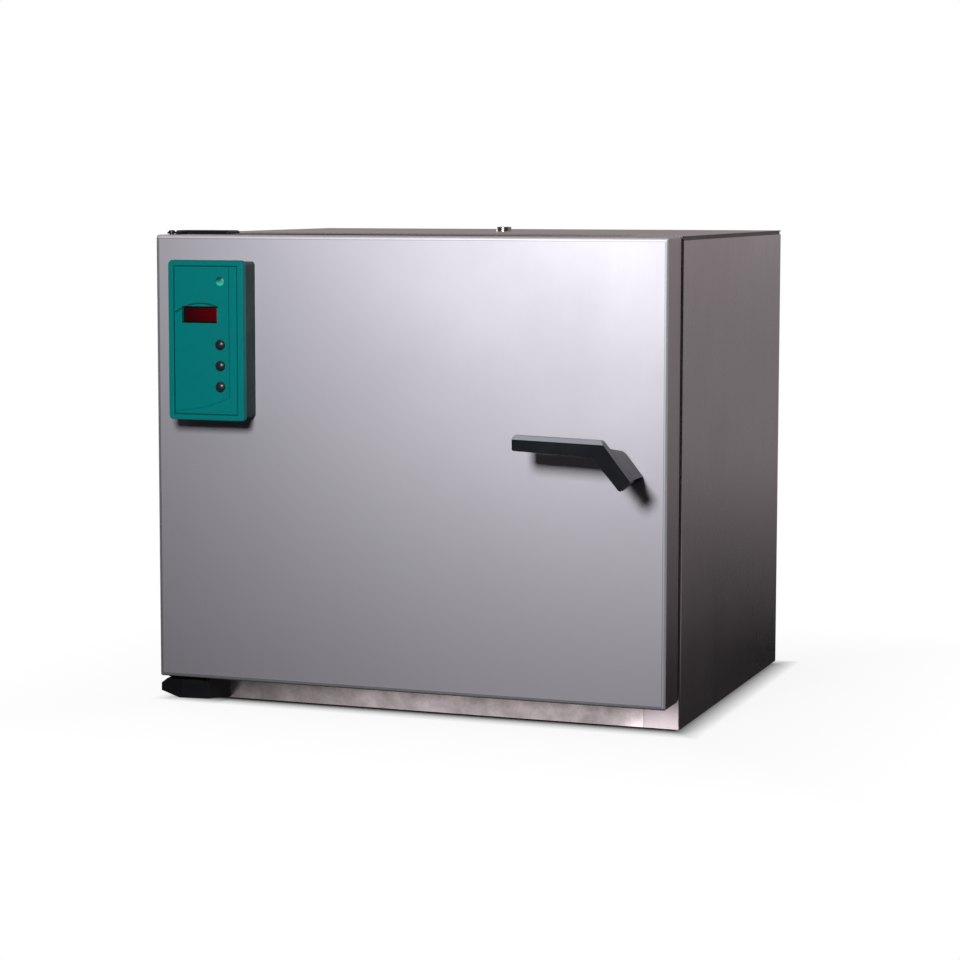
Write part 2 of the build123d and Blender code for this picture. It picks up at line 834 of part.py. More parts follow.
with BuildPart() as upper_hinge_bracket:
    with BuildSketch(Plane.XY.offset(cabinet_top_z)):
        with Locations((upper_screw_x, upper_screw_y)):
            RectangleRounded(upper_plate_length, upper_plate_depth, plate_chamfer)
    extrude(amount=upper_plate_thickness)
    chamfer(
        upper_hinge_bracket.edges().group_by(Axis.Z)[-1].sort_by(Axis.X)[-1], plate_chamfer
    )
    with BuildSketch(Plane.XY.offset(cabinet_top_z)):
        with Locations((hinge_x, hinge_y)):
            Circle(arm_radius)
        with Locations((hinge_x, (hinge_y + front_y + arm_overlap) / 2)):
            Rectangle(2 * arm_radius, front_y + arm_overlap - hinge_y)
    extrude(amount=upper_arm_thickness)
    with BuildSketch(Plane.XY.offset(cabinet_top_z)):
        with Locations((hinge_x, hinge_y)):
            Circle(upper_pin_radius)
        with Locations((upper_screw_x, upper_screw_y)):
            with GridLocations(hinge_screw_pitch, 0, 2, 1):
                Circle(hinge_screw_radius)
    extrude(amount=upper_plate_thickness, mode=Mode.SUBTRACT)
    with Locations(Plane.XY.offset(upper_plate_top_z)):
        with Locations((upper_screw_x, upper_screw_y)):
            with GridLocations(hinge_screw_pitch, 0, 2, 1):
                Cone(
                    hinge_screw_radius,
                    countersink_radius + running_fit,
                    upper_screw_countersink,
                    align=(Align.CENTER, Align.CENTER, Align.MAX),
                    mode=Mode.SUBTRACT,
                )
save(upper_hinge_bracket, "upper_hinge_bracket")

# Lower hinge bracket: a wedge shaped block under the door's corner, thinner at its free end
nose_front = 8.0
nose_low_z = 17.0
nose_high_z = 26.5
bracket_tip_x = 28.0
bracket_tip_front = 2.0
bracket_turn_x = 60.0
bracket_turn_front = 12.0
bracket_root_x = 68.0
underside_start_x = 48.0
root_low_z = 4.5
top_start_x = 7.0
bracket_edge_radius = 1.5

with BuildPart() as lower_hinge_bracket:
    with BuildSketch(Plane.XY.offset(root_low_z)):
        with BuildLine():
            Polyline(
                (-half_width, front_y),
                (-half_width, door_front_y + nose_front),
                (door_left_x + bracket_tip_x, door_front_y + bracket_tip_front),
                (door_left_x + bracket_turn_x, door_front_y + bracket_turn_front),
                (door_left_x + bracket_root_x, front_y),
                close=True,
            )
        make_face()
    extrude(amount=lower_bracket_high_z - root_low_z)
    with BuildSketch(Plane.YZ):
        with BuildLine():
            Polyline(
                (door_front_y + bracket_tip_front, lower_bracket_low_z),
                (front_y, root_low_z),
                (front_y, lower_bracket_high_z),
                (door_front_y, lower_bracket_high_z),
                (door_front_y, lower_bracket_low_z),
                close=True,
            )
        make_face()
    extrude(amount=cabinet_width, both=True, mode=Mode.INTERSECT)
    with BuildSketch(front_plane(front_y)):
        with BuildLine():
            Polyline(
                (-half_width, nose_low_z),
                (door_left_x + underside_start_x, root_low_z),
                (door_left_x + bracket_root_x, root_low_z),
                (door_left_x + bracket_root_x, lower_bracket_high_z),
                (door_left_x + top_start_x, lower_bracket_high_z),
                (-half_width, nose_high_z),
                close=True,
            )
        make_face()
    extrude(amount=cabinet_depth, mode=Mode.INTERSECT)
    fillet(
        lower_hinge_bracket.edges().filter_by(Axis.Z).group_by(Axis.Y)[0], bracket_edge_radius
    )
    with BuildSketch(Plane.XY.offset(lower_bracket_high_z)):
        with Locations((hinge_x, hinge_y)):
            Circle(lower_pin_radius)
    extrude(amount=-(lower_bracket_high_z - nose_low_z), mode=Mode.SUBTRACT)
    with BuildSketch(front_plane(front_y)):
        with Locations((lower_outer_screw_x, lower_screw_z), (lower_inner_screw_x, lower_screw_z)):
            Circle(hinge_screw_radius)
    extrude(amount=rail_flange + bend_radius, mode=Mode.SUBTRACT)
save(lower_hinge_bracket, "lower_hinge_bracket")

# Hinge pins, washer and screws
pin_depth_in_door = 20.0

with BuildPart() as upper_hinge_pin:
    with BuildSketch(Plane.XY.offset(door_top_z - pin_depth_in_door)):
        with Locations((hinge_x, hinge_y)):
            Circle(upper_pin_radius)
    extrude(amount=upper_arm_top_z - door_top_z + pin_depth_in_door)
    with BuildSketch(Plane.XY.offset(upper_arm_top_z)):
        with Locations((hinge_x, hinge_y)):
            Circle(upper_pin_head_radius)
    extrude(amount=upper_pin_head_height)
    chamfer(upper_hinge_pin.edges().group_by(Axis.Z)[-1], upper_pin_head_height / 2)
save(upper_hinge_pin, "upper_hinge_pin")

with BuildPart() as lower_hinge_pin:
    with BuildSketch(Plane.XY.offset(nose_low_z)):
        with Locations((hinge_x, hinge_y)):
            Circle(lower_pin_radius)
    extrude(amount=door_bottom_z + pin_depth_in_door - nose_low_z)
    chamfer(lower_hinge_pin.edges().group_by(Axis.Z)[-1], vent_rim)
save(lower_hinge_pin, "lower_hinge_pin")

washer_radius = 9.0

with BuildPart() as hinge_washer:
    with BuildSketch(Plane.XY.offset(lower_bracket_high_z)):
        with Locations((hinge_x, hinge_y)):
            Circle(washer_radius)
            Circle(lower_pin_radius + running_fit, mode=Mode.SUBTRACT)
    extrude(amount=door_bottom_z - seal_clearance - lower_bracket_high_z)
save(hinge_washer, "hinge_washer")

hinge_screw_length = 11.0
hinge_screw_shank = hinge_screw_radius - running_fit
hinge_screw = screw(
    countersink_radius, lower_screw_head_height, hinge_screw_shank, hinge_screw_length
)

with BuildPart() as countersunk_screw:
    Cylinder(hinge_screw_shank, hinge_screw_length, align=(Align.CENTER, Align.CENTER, Align.MAX))
    Cone(
        hinge_screw_shank,
        countersink_radius,
        upper_screw_countersink,
        align=(Align.CENTER, Align.CENTER, Align.MAX),
    )

with BuildPart() as hinge_screws:
    with Locations(Plane.XY.offset(upper_plate_top_z)):
        with Locations((upper_screw_x, upper_screw_y)):
            with GridLocations(hinge_screw_pitch, 0, 2, 1):
                add(countersunk_screw.part)
    with Locations(
        Plane(origin=(0, front_y + outer_sheet, lower_screw_z), x_dir=(1, 0, 0), z_dir=(0, 1, 0))
    ):
        with Locations((lower_outer_screw_x, 0), (lower_inner_screw_x, 0)):
            add(hinge_screw)
save(hinge_screws, "hinge_screws")

# Door: a folded skin with soft edges, a flat inner pan, and what lies between them
door_corner_radius = 2.0
door_centre_z = (door_bottom_z + door_top_z) / 2
upper_bush_radius = upper_pin_radius + bush_wall
lower_bush_radius = lower_pin_radius + bush_wall
bush_length = outer_sheet + hinge_block_height
controller_inset = 83.65
controller_drop = 124.0
controller_x = door_left_x + controller_inset
controller_z = door_top_z - controller_drop
cable_hole_radius = 7.0

with BuildPart() as door_skin:
    with BuildSketch(front_plane(door_back_y)):
        with Locations((0, door_centre_z)):
            RectangleRounded(door_width, door_height, door_corner_radius)
    extrude(amount=door_thickness)
    fillet(door_skin.faces().sort_by(Axis.Y)[0].edges(), door_edge_radius)
    offset(amount=-outer_sheet, openings=door_skin.faces().sort_by(Axis.Y)[-1])
    with BuildSketch(front_plane(door_front_y + outer_sheet)):
        with Locations((latch_x, latch_z)):
            Circle(bushing_radius)
        with Locations((controller_x, controller_z)):
            Circle(cable_hole_radius)
    extrude(amount=outer_sheet, mode=Mode.SUBTRACT)
    with BuildSketch(Plane.XY.offset(door_top_z - outer_sheet)):
        with Locations((hinge_x, hinge_y)):
            Circle(upper_bush_radius)
    extrude(amount=outer_sheet, mode=Mode.SUBTRACT)
    with BuildSketch(Plane.XY.offset(door_bottom_z)):
        with Locations((hinge_x, hinge_y)):
            Circle(lower_bush_radius)
    extrude(amount=outer_sheet, mode=Mode.SUBTRACT)
save(door_skin, "door_skin")

with BuildPart() as door_inner_pan:
    with BuildSketch(front_plane(door_back_y)):
        with Locations((0, door_centre_z)):
            RectangleRounded(door_width - 2 * inset, door_height - 2 * inset, door_corner_radius)
    extrude(amount=pan_flange)
    offset(amount=-outer_sheet, openings=door_inner_pan.faces().sort_by(Axis.Y)[0])
    with BuildSketch(front_plane(door_back_y)):
        with Locations((latch_x, latch_z)):
            Circle(bushing_radius)
    extrude(amount=outer_sheet, mode=Mode.SUBTRACT)
save(door_inner_pan, "door_inner_pan")

block_left_x = door_left_x + outer_sheet
block_right_x = hinge_x + hinge_block_width / 2 + bush_wall


def hinge_block_outline(margin):
    """The plan of the steel block that holds a hinge bush, grown by a margin."""
    with Locations(((block_left_x + block_right_x) / 2, hinge_y)):
        Rectangle(block_right_x - block_left_x + 2 * margin, hinge_block_depth + 2 * margin)


with BuildPart() as door_hinge_blocks:
    with BuildSketch(Plane.XY.offset(door_top_z - bush_length)):
        hinge_block_outline(0)
        with Locations((hinge_x, hinge_y)):
            Circle(upper_bush_radius, mode=Mode.SUBTRACT)
    extrude(amount=hinge_block_height)
    with BuildSketch(Plane.XY.offset(door_bottom_z + outer_sheet)):
        hinge_block_outline(0)
        with Locations((hinge_x, hinge_y)):
            Circle(lower_bush_radius, mode=Mode.SUBTRACT)
    extrude(amount=hinge_block_height)
save(door_hinge_blocks, "door_hinge_blocks")

with BuildPart() as door_hinge_bushes:
    with BuildSketch(Plane.XY.offset(door_top_z - bush_length)):
        with Locations((hinge_x, hinge_y)):
            Circle(upper_bush_radius)
            Circle(upper_pin_radius + running_fit, mode=Mode.SUBTRACT)
    extrude(amount=bush_length)
    with BuildSketch(Plane.XY.offset(door_bottom_z)):
        with Locations((hinge_x, hinge_y)):
            Circle(lower_bush_radius)
            Circle(lower_pin_radius + running_fit, mode=Mode.SUBTRACT)
    extrude(amount=bush_length)
save(door_hinge_bushes, "door_hinge_bushes")

filling_inset = inset + outer_sheet + insulation_fit
filling_front_y = door_front_y + outer_sheet + insulation_fit
filling_back_y = door_back_y - outer_sheet - insulation_fit
bushing_flange_radius = 12.0
bushing_flange_thickness = 2.0

with BuildPart() as door_insulation:
    with BuildSketch(front_plane(filling_back_y)):
        with Locations((0, door_centre_z)):
            RectangleRounded(
                door_width - 2 * filling_inset, door_height - 2 * filling_inset, door_edge_radius
            )
        with Locations((latch_x, latch_z)):
            Circle(bushing_flange_radius + insulation_fit, mode=Mode.SUBTRACT)
    extrude(amount=filling_back_y - filling_front_y)
    with BuildSketch(Plane.XY.offset(door_top_z - bush_length - insulation_fit)):
        hinge_block_outline(insulation_fit)
    extrude(amount=bush_length, mode=Mode.SUBTRACT)
    with BuildSketch(Plane.XY.offset(door_bottom_z)):
        hinge_block_outline(insulation_fit)
    extrude(amount=bush_length + insulation_fit, mode=Mode.SUBTRACT)
save(door_insulation, "door_insulation")

gasket_inner_margin = 2.0
gasket_width = 14.0
gasket_corner_radius = 8.0
gasket_bevel = 1.6
chamber_centre_z = (chamber_floor_z + chamber_roof_z) / 2
gasket_inner_width = chamber_width + 2 * gasket_inner_margin
gasket_inner_height = chamber_height + 2 * gasket_inner_margin

with BuildPart() as door_gasket:
    with BuildSketch(front_plane(front_y - seal_clearance)):
        with Locations((0, chamber_centre_z)):
            RectangleRounded(
                gasket_inner_width + 2 * gasket_width,
                gasket_inner_height + 2 * gasket_width,
                gasket_corner_radius + gasket_width,
            )
            RectangleRounded(
                gasket_inner_width, gasket_inner_height, gasket_corner_radius, mode=Mode.SUBTRACT
            )
    extrude(amount=door_gap - seal_clearance)
    chamfer(door_gasket.faces().sort_by(Axis.Y)[-1].edges(), gasket_bevel)
save(door_gasket, "door_gasket")

with BuildPart() as latch_bushing:
    with BuildSketch(front_plane(door_back_y)):
        with Locations((latch_x, latch_z)):
            Circle(bushing_radius)
    extrude(amount=door_thickness)
    with BuildSketch(front_plane(door_front_y + outer_sheet + bushing_flange_thickness)):
        with Locations((latch_x, latch_z)):
            Circle(bushing_flange_radius)
    extrude(amount=bushing_flange_thickness)
    with BuildSketch(front_plane(door_back_y)):
        with Locations((latch_x, latch_z)):
            Circle(spindle_radius + running_fit)
    extrude(amount=door_thickness, mode=Mode.SUBTRACT)
save(latch_bushing, "latch_bushing")

# Lever: a flat grip that turns down into a short arm, with a thick hub that reaches the door
lever_thickness = 14.0
lever_corner_bevel = 1.6
grip_bevel = 4.4
grip_end = 119.4
grip_end_top = 37.4
grip_end_bottom = 20.0
bend_outer = (-15.0, 34.4)
bend_inner = (-24.0, 15.4)
arm_end_outer = (21.0, -11.3)
arm_end_inner = (7.8, -22.3)
hub_low_end = 19.0
hub_high_end_at_lever = 26.0
hub_high_end_at_door = 17.5
hub_foot_bevel = 5.0
hub_width = 15.5
spindle_depth_in_hub = 34.0
arm_angle = atan2(arm_end_outer[1] - bend_outer[1], arm_end_outer[0] - bend_outer[0])
lever_back_y = handle_front_y + lever_thickness
hub_back_y = door_front_y - seal_clearance


def on_latch(y):
    """The upright plane at depth y with its origin on the axis of the latch spindle."""
    return Plane(origin=(latch_x, y, latch_z), x_dir=(1, 0, 0), z_dir=(0, -1, 0))


along_arm = Plane(
    origin=(latch_x, 0, latch_z),
    x_dir=(cos(arm_angle), 0, sin(arm_angle)),
    z_dir=(-sin(arm_angle), 0, cos(arm_angle)),
)

with BuildPart() as handle_lever:
    with BuildSketch(on_latch(lever_back_y)):
        with BuildLine():
            Polyline(
                (-grip_end, grip_end_top),
                bend_outer,
                arm_end_outer,
                arm_end_inner,
                bend_inner,
                (-grip_end, grip_end_bottom),
                close=True,
            )
        make_face()
    extrude(amount=lever_thickness)
    chamfer(handle_lever.edges().filter_by(Axis.Y), lever_corner_bevel)
    grip_top_edge = handle_lever.faces().sort_by(Axis.Y)[0].edges().sort_by(SortBy.LENGTH)[-1]
    chamfer(grip_top_edge, grip_bevel)
    with BuildPart(mode=Mode.PRIVATE) as hub:
        with BuildSketch(along_arm):
            with BuildLine():
                Polyline(
                    (-hub_high_end_at_lever, lever_back_y),
                    (hub_low_end, lever_back_y),
                    (hub_low_end, hub_back_y),
                    (hub_foot_bevel - hub_high_end_at_door, hub_back_y),
                    (-hub_high_end_at_door, hub_back_y - hub_foot_bevel),
                    close=True,
                )
            make_face()
        extrude(amount=hub_width / 2, both=True)
    add(hub.part)
    with BuildSketch(on_latch(hub_back_y)):
        Circle(spindle_radius + running_fit)
    extrude(amount=spindle_depth_in_hub, mode=Mode.SUBTRACT)
save(handle_lever, "handle_lever")

with BuildPart() as latch_spindle:
    with BuildSketch(on_latch(tongue_front_y)):
        Circle(spindle_radius)
    extrude(amount=tongue_front_y - hub_back_y + spindle_depth_in_hub)
    with BuildSketch(on_latch(tongue_back_y)):
        Circle(tongue_pin_radius)
    extrude(amount=tongue_thickness)
save(latch_spindle, "latch_spindle")

with BuildPart() as latch_tongue:
    with BuildSketch(on_latch(tongue_back_y)):
        with Locations(((tongue_reach - tongue_width / 2) / 2, 0)):
            SlotCenterToCenter(tongue_reach - tongue_width / 2, tongue_width)
        Circle(tongue_pin_radius, mode=Mode.SUBTRACT)
    extrude(amount=tongue_thickness)
save(latch_tongue, "latch_tongue")

# Controller: a moulded cover over a dark base box, with the board, display and switches inside
cover_width = 98.3
cover_tall = 190.0
cover_corner_radius = 5.0
cover_edge_radius = 2.0
cover_skirt = 8.0
cover_wall = 3.0
cover_side_wall = 2.5
base_depth = 30.0
base_margin = 2.0
base_wall = 2.5
base_corner_radius = 4.0
rim_side_width = 7.4
rim_end_width = 6.2
recess_depth = 0.8
groove_width = 1.6
groove_depth = 1.8
panel_right = 29.95
swoosh_left_rise = 11.9
swoosh_middle = (-1.65, 16.7)
swoosh_right_rise = 28.0
hood_left = (-39.5, 33.5)
hood_top = (-10.0, 44.6)
hood_right = (17.0, 40.0)
hood_width = 1.8
window_x = -8.05
window_drop = 64.5
window_width = 46.0
window_height = 20.0
window_lap = 3.0
window_thickness = 2.0
window_pocket = 3.0
control_x = 18.9
lamp_drop = 24.6
lamp_radius = 5.5
lamp_collar = 1.3
lamp_dome = 0.9
button_drop = 100.0
button_pitch = 25.0
button_count = 3
button_radius = 6.0
button_clearance = 0.3
button_rise = 1.2
button_dome = 2.2
button_crown = 3.2
button_collar = 1.6
button_collar_thickness = 1.5
button_travel = 1.2
stem_radius = 3.0
board_side_margin = 7.15
board_end_margin = 9.0
board_thickness = 1.6
board_standoff = 14.0
boss_radius = 3.5
boss_inset = 7.0
switch_size = 6.0
switch_height = 4.0
plunger_radius = 1.75
plunger_height = 1.0
display_clearance = 0.2
display_height_margin = 2.0
window_z = cover_tall / 2 - window_drop
lamp_z = cover_tall / 2 - lamp_drop
button_top_z = cover_tall / 2 - button_drop
board_width = cover_width - 2 * board_side_margin
board_tall = cover_tall - 2 * board_end_margin
base_front_y = door_front_y - base_depth
face_y = base_front_y - cover_skirt
cover_back_wall_y = face_y + cover_wall
window_front_y = cover_back_wall_y + window_pocket
window_back_y = window_front_y + window_thickness
board_back_y = door_front_y - base_wall - board_standoff
board_front_y = board_back_y - board_thickness


def on_controller(y):
    """The upright plane at depth y with its origin on the middle of the controller."""
    return Plane(origin=(controller_x, y, controller_z), x_dir=(1, 0, 0), z_dir=(0, -1, 0))


with BuildPart() as controller_base:
    with BuildSketch(on_controller(door_front_y)):
        RectangleRounded(
            cover_width - 2 * base_margin, cover_tall - 2 * base_margin, base_corner_radius
        )
    extrude(amount=base_depth)
    offset(amount=-base_wall, openings=controller_base.faces().sort_by(Axis.Y)[0])
    with BuildSketch(on_controller(door_front_y - base_wall)):
        with GridLocations(board_width - 2 * boss_inset, board_tall - 2 * boss_inset, 2, 2):
            Circle(boss_radius)
    extrude(amount=board_standoff)
    with BuildSketch(on_controller(door_front_y)):
        Circle(cable_hole_radius)
    extrude(amount=base_wall, mode=Mode.SUBTRACT)
save(controller_base, "controller_base")


def control_column(radius):
    """Circles at the three buttons of the controller."""
    with Locations((control_x, button_top_z - (button_count - 1) * button_pitch / 2)):
        with GridLocations(0, button_pitch, 1, button_count):
            Circle(radius)


inner_width = cover_width - 2 * rim_side_width
inner_tall = cover_tall - 2 * rim_end_width
panel_left = -inner_width / 2 + groove_width
panel_top = inner_tall / 2 - groove_width
swoosh_left = (panel_left, swoosh_left_rise - cover_tall / 2)
swoosh_low = (swoosh_middle[0], swoosh_middle[1] - cover_tall / 2)
swoosh_right = (panel_right, swoosh_right_rise - cover_tall / 2)

with BuildPart() as controller_cover:
    with BuildSketch(on_controller(base_front_y)):
        RectangleRounded(cover_width, cover_tall, cover_corner_radius)
    extrude(amount=cover_skirt)
    fillet(controller_cover.faces().sort_by(Axis.Y)[0].edges(), cover_edge_radius)
    with BuildSketch(on_controller(base_front_y)):
        RectangleRounded(
            cover_width - 2 * cover_side_wall, cover_tall - 2 * cover_side_wall, cover_side_wall
        )
    extrude(amount=cover_skirt - cover_wall, mode=Mode.SUBTRACT)
    with BuildSketch(on_controller(window_front_y)):
        with Locations((window_x, window_z)):
            Rectangle(window_width + 2 * window_lap, window_height + 2 * window_lap)
    extrude(amount=window_pocket)
    with BuildSketch(on_controller(face_y)):
        Rectangle(inner_width, inner_tall)
        with BuildLine():
            Polyline(
                swoosh_left,
                (panel_left, panel_top),
                (panel_right, panel_top),
                swoosh_right,
            )
            ThreePointArc(swoosh_right, swoosh_low, swoosh_left)
        make_face(mode=Mode.SUBTRACT)
    extrude(amount=-recess_depth, mode=Mode.SUBTRACT)
    with BuildSketch(on_controller(face_y)):
        Rectangle(inner_width, inner_tall)
        Rectangle(
            inner_width - 2 * groove_width, inner_tall - 2 * groove_width, mode=Mode.SUBTRACT
        )
        with BuildLine():
            ThreePointArc(hood_left, hood_top, hood_right)
            offset(amount=hood_width, side=Side.RIGHT)
        make_face()
    extrude(amount=-groove_depth, mode=Mode.SUBTRACT)
    with BuildSketch(on_controller(face_y)):
        with Locations((control_x, lamp_z)):
            Circle(lamp_radius)
        control_column(button_radius + button_clearance)
    extrude(amount=-cover_wall, mode=Mode.SUBTRACT)
    with BuildSketch(on_controller(face_y)):
        with Locations((window_x, window_z)):
            Rectangle(window_width, window_height)
    extrude(amount=-cover_wall - window_pocket, mode=Mode.SUBTRACT)
save(controller_cover, "controller_cover")

with BuildPart() as display_window:
    with BuildSketch(on_controller(window_back_y)):
        with Locations((window_x, window_z)):
            Rectangle(window_width + 2 * window_lap, window_height + 2 * window_lap)
    extrude(amount=window_thickness)
save(display_window, "display_window")

with BuildPart() as indicator_lens:
    with BuildSketch(on_controller(cover_back_wall_y)):
        with Locations((control_x, lamp_z)):
            Circle(lamp_radius)
    extrude(amount=cover_wall + lamp_dome)
    chamfer(indicator_lens.faces().sort_by(Axis.Y)[0].edges(), lamp_dome)
    with BuildSketch(on_controller(cover_back_wall_y + lamp_collar)):
        with Locations((control_x, lamp_z)):
            Circle(lamp_radius + lamp_collar)
    extrude(amount=lamp_collar)
save(indicator_lens, "indicator_lens")

with BuildPart() as controller_board:
    with BuildSketch(on_controller(board_back_y)):
        Rectangle(board_width, board_tall)
    extrude(amount=board_thickness)
save(controller_board, "controller_board")

with BuildPart() as display_module:
    with BuildSketch(on_controller(board_front_y)):
        with Locations((window_x, window_z)):
            Rectangle(window_width, window_height + display_height_margin)
    extrude(amount=board_front_y - window_back_y - display_clearance)
save(display_module, "display_module")

with BuildPart() as tact_switches:
    with BuildSketch(on_controller(board_front_y)):
        with Locations((control_x, button_top_z - (button_count - 1) * button_pitch / 2)):
            with GridLocations(0, button_pitch, 1, button_count):
                Rectangle(switch_size, switch_size)
    extrude(amount=switch_height)
    with BuildSketch(on_controller(board_front_y - switch_height)):
        control_column(plunger_radius)
    extrude(amount=plunger_height)
save(tact_switches, "tact_switches")

stem_end_y = board_front_y - switch_height - plunger_height - button_travel - display_clearance

for number in range(button_count):
    button_z = button_top_z - number * button_pitch
    with BuildPart() as button:
        with BuildSketch(on_controller(cover_back_wall_y)):
            with Locations((control_x, button_z)):
                Circle(button_radius)
        extrude(amount=cover_wall + button_rise + button_dome)
        button_rim = button.faces().sort_by(Axis.Y)[0].edges()
        chamfer(button_rim, button_dome, button_crown)
        with BuildSketch(on_controller(cover_back_wall_y + button_collar_thickness)):
            with Locations((control_x, button_z)):
                Circle(button_radius + button_collar)
        extrude(amount=button_collar_thickness)
        with BuildSketch(on_controller(stem_end_y)):
            with Locations((control_x, button_z)):
                Circle(stem_radius)
        extrude(amount=stem_end_y - cover_back_wall_y)
    save(button, f"button_{number + 1}")
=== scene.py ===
# %% [markdown]
# # A laboratory drying oven
# A drying oven is a box in a box: a bright steel chamber, a thick coat of mineral wool and a thin
# folded steel casing. Its construction comes ready made and stays where it is. This lesson gives it
# its looks: steel with a faint grain, moulded plastic, glossy buttons, screws with cross recesses,
# and the dim studio that a steel front mirrors. Each step says what the thing is, how it could be
# made and why it is made this way.

import math

import bpy
from mathutils import Matrix, Vector


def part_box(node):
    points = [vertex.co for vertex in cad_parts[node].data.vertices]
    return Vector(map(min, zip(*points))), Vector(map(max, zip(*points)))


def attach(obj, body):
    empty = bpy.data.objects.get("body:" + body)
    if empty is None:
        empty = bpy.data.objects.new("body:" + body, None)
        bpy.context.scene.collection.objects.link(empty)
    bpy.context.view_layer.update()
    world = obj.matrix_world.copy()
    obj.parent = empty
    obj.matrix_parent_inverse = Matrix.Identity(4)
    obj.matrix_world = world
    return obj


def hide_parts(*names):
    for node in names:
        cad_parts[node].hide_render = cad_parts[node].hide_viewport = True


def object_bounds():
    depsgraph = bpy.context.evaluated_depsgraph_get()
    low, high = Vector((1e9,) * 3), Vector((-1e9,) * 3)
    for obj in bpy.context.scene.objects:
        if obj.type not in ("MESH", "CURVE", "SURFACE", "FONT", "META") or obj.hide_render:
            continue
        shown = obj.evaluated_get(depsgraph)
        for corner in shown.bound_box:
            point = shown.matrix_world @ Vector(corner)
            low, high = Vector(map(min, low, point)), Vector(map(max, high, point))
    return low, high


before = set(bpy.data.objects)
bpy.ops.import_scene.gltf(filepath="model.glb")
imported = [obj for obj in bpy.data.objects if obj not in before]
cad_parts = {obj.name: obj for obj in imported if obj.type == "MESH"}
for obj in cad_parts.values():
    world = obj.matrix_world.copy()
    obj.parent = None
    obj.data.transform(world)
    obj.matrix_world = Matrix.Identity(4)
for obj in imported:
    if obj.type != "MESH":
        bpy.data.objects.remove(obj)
cad_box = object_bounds()
print("the oven is", [round(high - low, 4) for low, high in zip(*cad_box)], "m")

# %% [markdown]
# ## The camera
# The photograph was taken from the right of the door, a little above its top edge, with a long
# lens: the side panel is narrow and its far edge is only a little shorter than the near one. The
# camera could be moved by eye until things look alike, but a long lens forgives nothing, so its
# place comes from the corners of the door. A small lens shift keeps the oven where the picture
# has it without tilting the uprights.

# %% Camera
camera_place = Vector((1.1091, -3.1057, 0.6266))
camera_turn = math.radians(20.42)
camera_down = math.radians(5.62)
focal_length = 98.44
film_width = 36.0
shift_across = 0.0417
shift_up = -0.03125
farthest_seen = 60.0
door_centre = Vector((0.0, cad_box[0].y, 0.31))

camera_data = bpy.data.cameras.new("camera")
camera_data.lens = focal_length
camera_data.sensor_width = film_width
camera_data.shift_x = shift_across
camera_data.shift_y = shift_up
camera_data.clip_end = farthest_seen
camera = bpy.data.objects.new("camera", camera_data)
camera.location = camera_place
camera.rotation_euler = (math.pi / 2 - camera_down, 0, camera_turn)
bpy.context.scene.collection.objects.link(camera)
bpy.context.scene.camera = camera
bpy.context.scene.view_settings.view_transform = "Standard"
print("the lens is", round((camera_place - door_centre).length, 2), "m from the door")

# %% [markdown]
# ## Shader node groups
# Real surfaces share a few faults: a grain from rolling and brushing, smears from hands, edges
# that are rubbed bright, the fine skin of a mould, dust on what faces up. Each could be wired anew
# in every material, but then no two would agree. So each is one node group with named inputs,
# placed in a material with that material's own values. A group gives out only masks and heights,
# and the shader itself stays in the material.

# %% A helper that starts a node group
def new_group(name, inputs, outputs):
    """An empty node group with float or vector inputs and float outputs, and its two end nodes."""
    tree = bpy.data.node_groups.new(name, "ShaderNodeTree")
    for label, value in inputs.items():
        kind = "NodeSocketFloat" if isinstance(value, float) else "NodeSocketVector"
        socket = tree.interface.new_socket(name=label, in_out="INPUT", socket_type=kind)
        socket.default_value = value
    for label in outputs:
        tree.interface.new_socket(name=label, in_out="OUTPUT", socket_type="NodeSocketFloat")
    return tree, tree.nodes.new("NodeGroupInput"), tree.nodes.new("NodeGroupOutput")


print("made the helper", new_group.__name__)


# %% Helpers for math, noise and masks
def math_node(tree, operation, first, second=0.0, clamp=False):
    """A Math node; each operand is a socket or a number."""
    node = tree.nodes.new("ShaderNodeMath")
    node.operation = operation
    node.use_clamp = clamp
    for socket, operand in zip(node.inputs, (first, second)):
        if isinstance(operand, (int, float)):
            socket.default_value = operand
        else:
            tree.links.new(operand, socket)
    return node.outputs[0]


def combine(tree, operation, *masks):
    """Joins masks in turn: MULTIPLY keeps what all of them share, MAXIMUM what any of them has."""
    result = masks[0]
    for mask in masks[1:]:
        result = math_node(tree, operation, result, mask)
    return result


def noise(tree, vector, scale, detail=3.0, roughness=0.5):
    """A Noise Texture read at the given vector; the scale is a number or a socket."""
    node = tree.nodes.new("ShaderNodeTexNoise")
    node.inputs["Detail"].default_value = detail
    node.inputs["Roughness"].default_value = roughness
    tree.links.new(vector, node.inputs["Vector"])
    if isinstance(scale, (int, float)):
        node.inputs["Scale"].default_value = scale
    else:
        tree.links.new(scale, node.inputs["Scale"])
    return node.outputs["Fac"]


def spread(tree, value, low, high, to_low=0.0, to_high=1.0):
    """Map Range with clamping: low becomes to_low and high becomes to_high."""
    node = tree.nodes.new("ShaderNodeMapRange")
    tree.links.new(value, node.inputs["Value"])
    ends = {"From Min": low, "From Max": high, "To Min": to_low, "To Max": to_high}
    for label, number in ends.items():
        node.inputs[label].default_value = number
    return node.outputs["Result"]


print("made the helpers", math_node.__name__, combine.__name__, noise.__name__, spread.__name__)


# %% Helpers that read where a point lies and where its surface looks
def own_place(tree):
    """The Object coordinates, in which a pattern stays put on its piece."""
    return tree.nodes.new("ShaderNodeTexCoord").outputs["Object"]


def split(tree, output):
    """The X, Y and Z of one output of a Texture Coordinate node."""
    place = tree.nodes.new("ShaderNodeTexCoord")
    axes = tree.nodes.new("ShaderNodeSeparateXYZ")
    tree.links.new(place.outputs[output], axes.inputs["Vector"])
    return axes.outputs


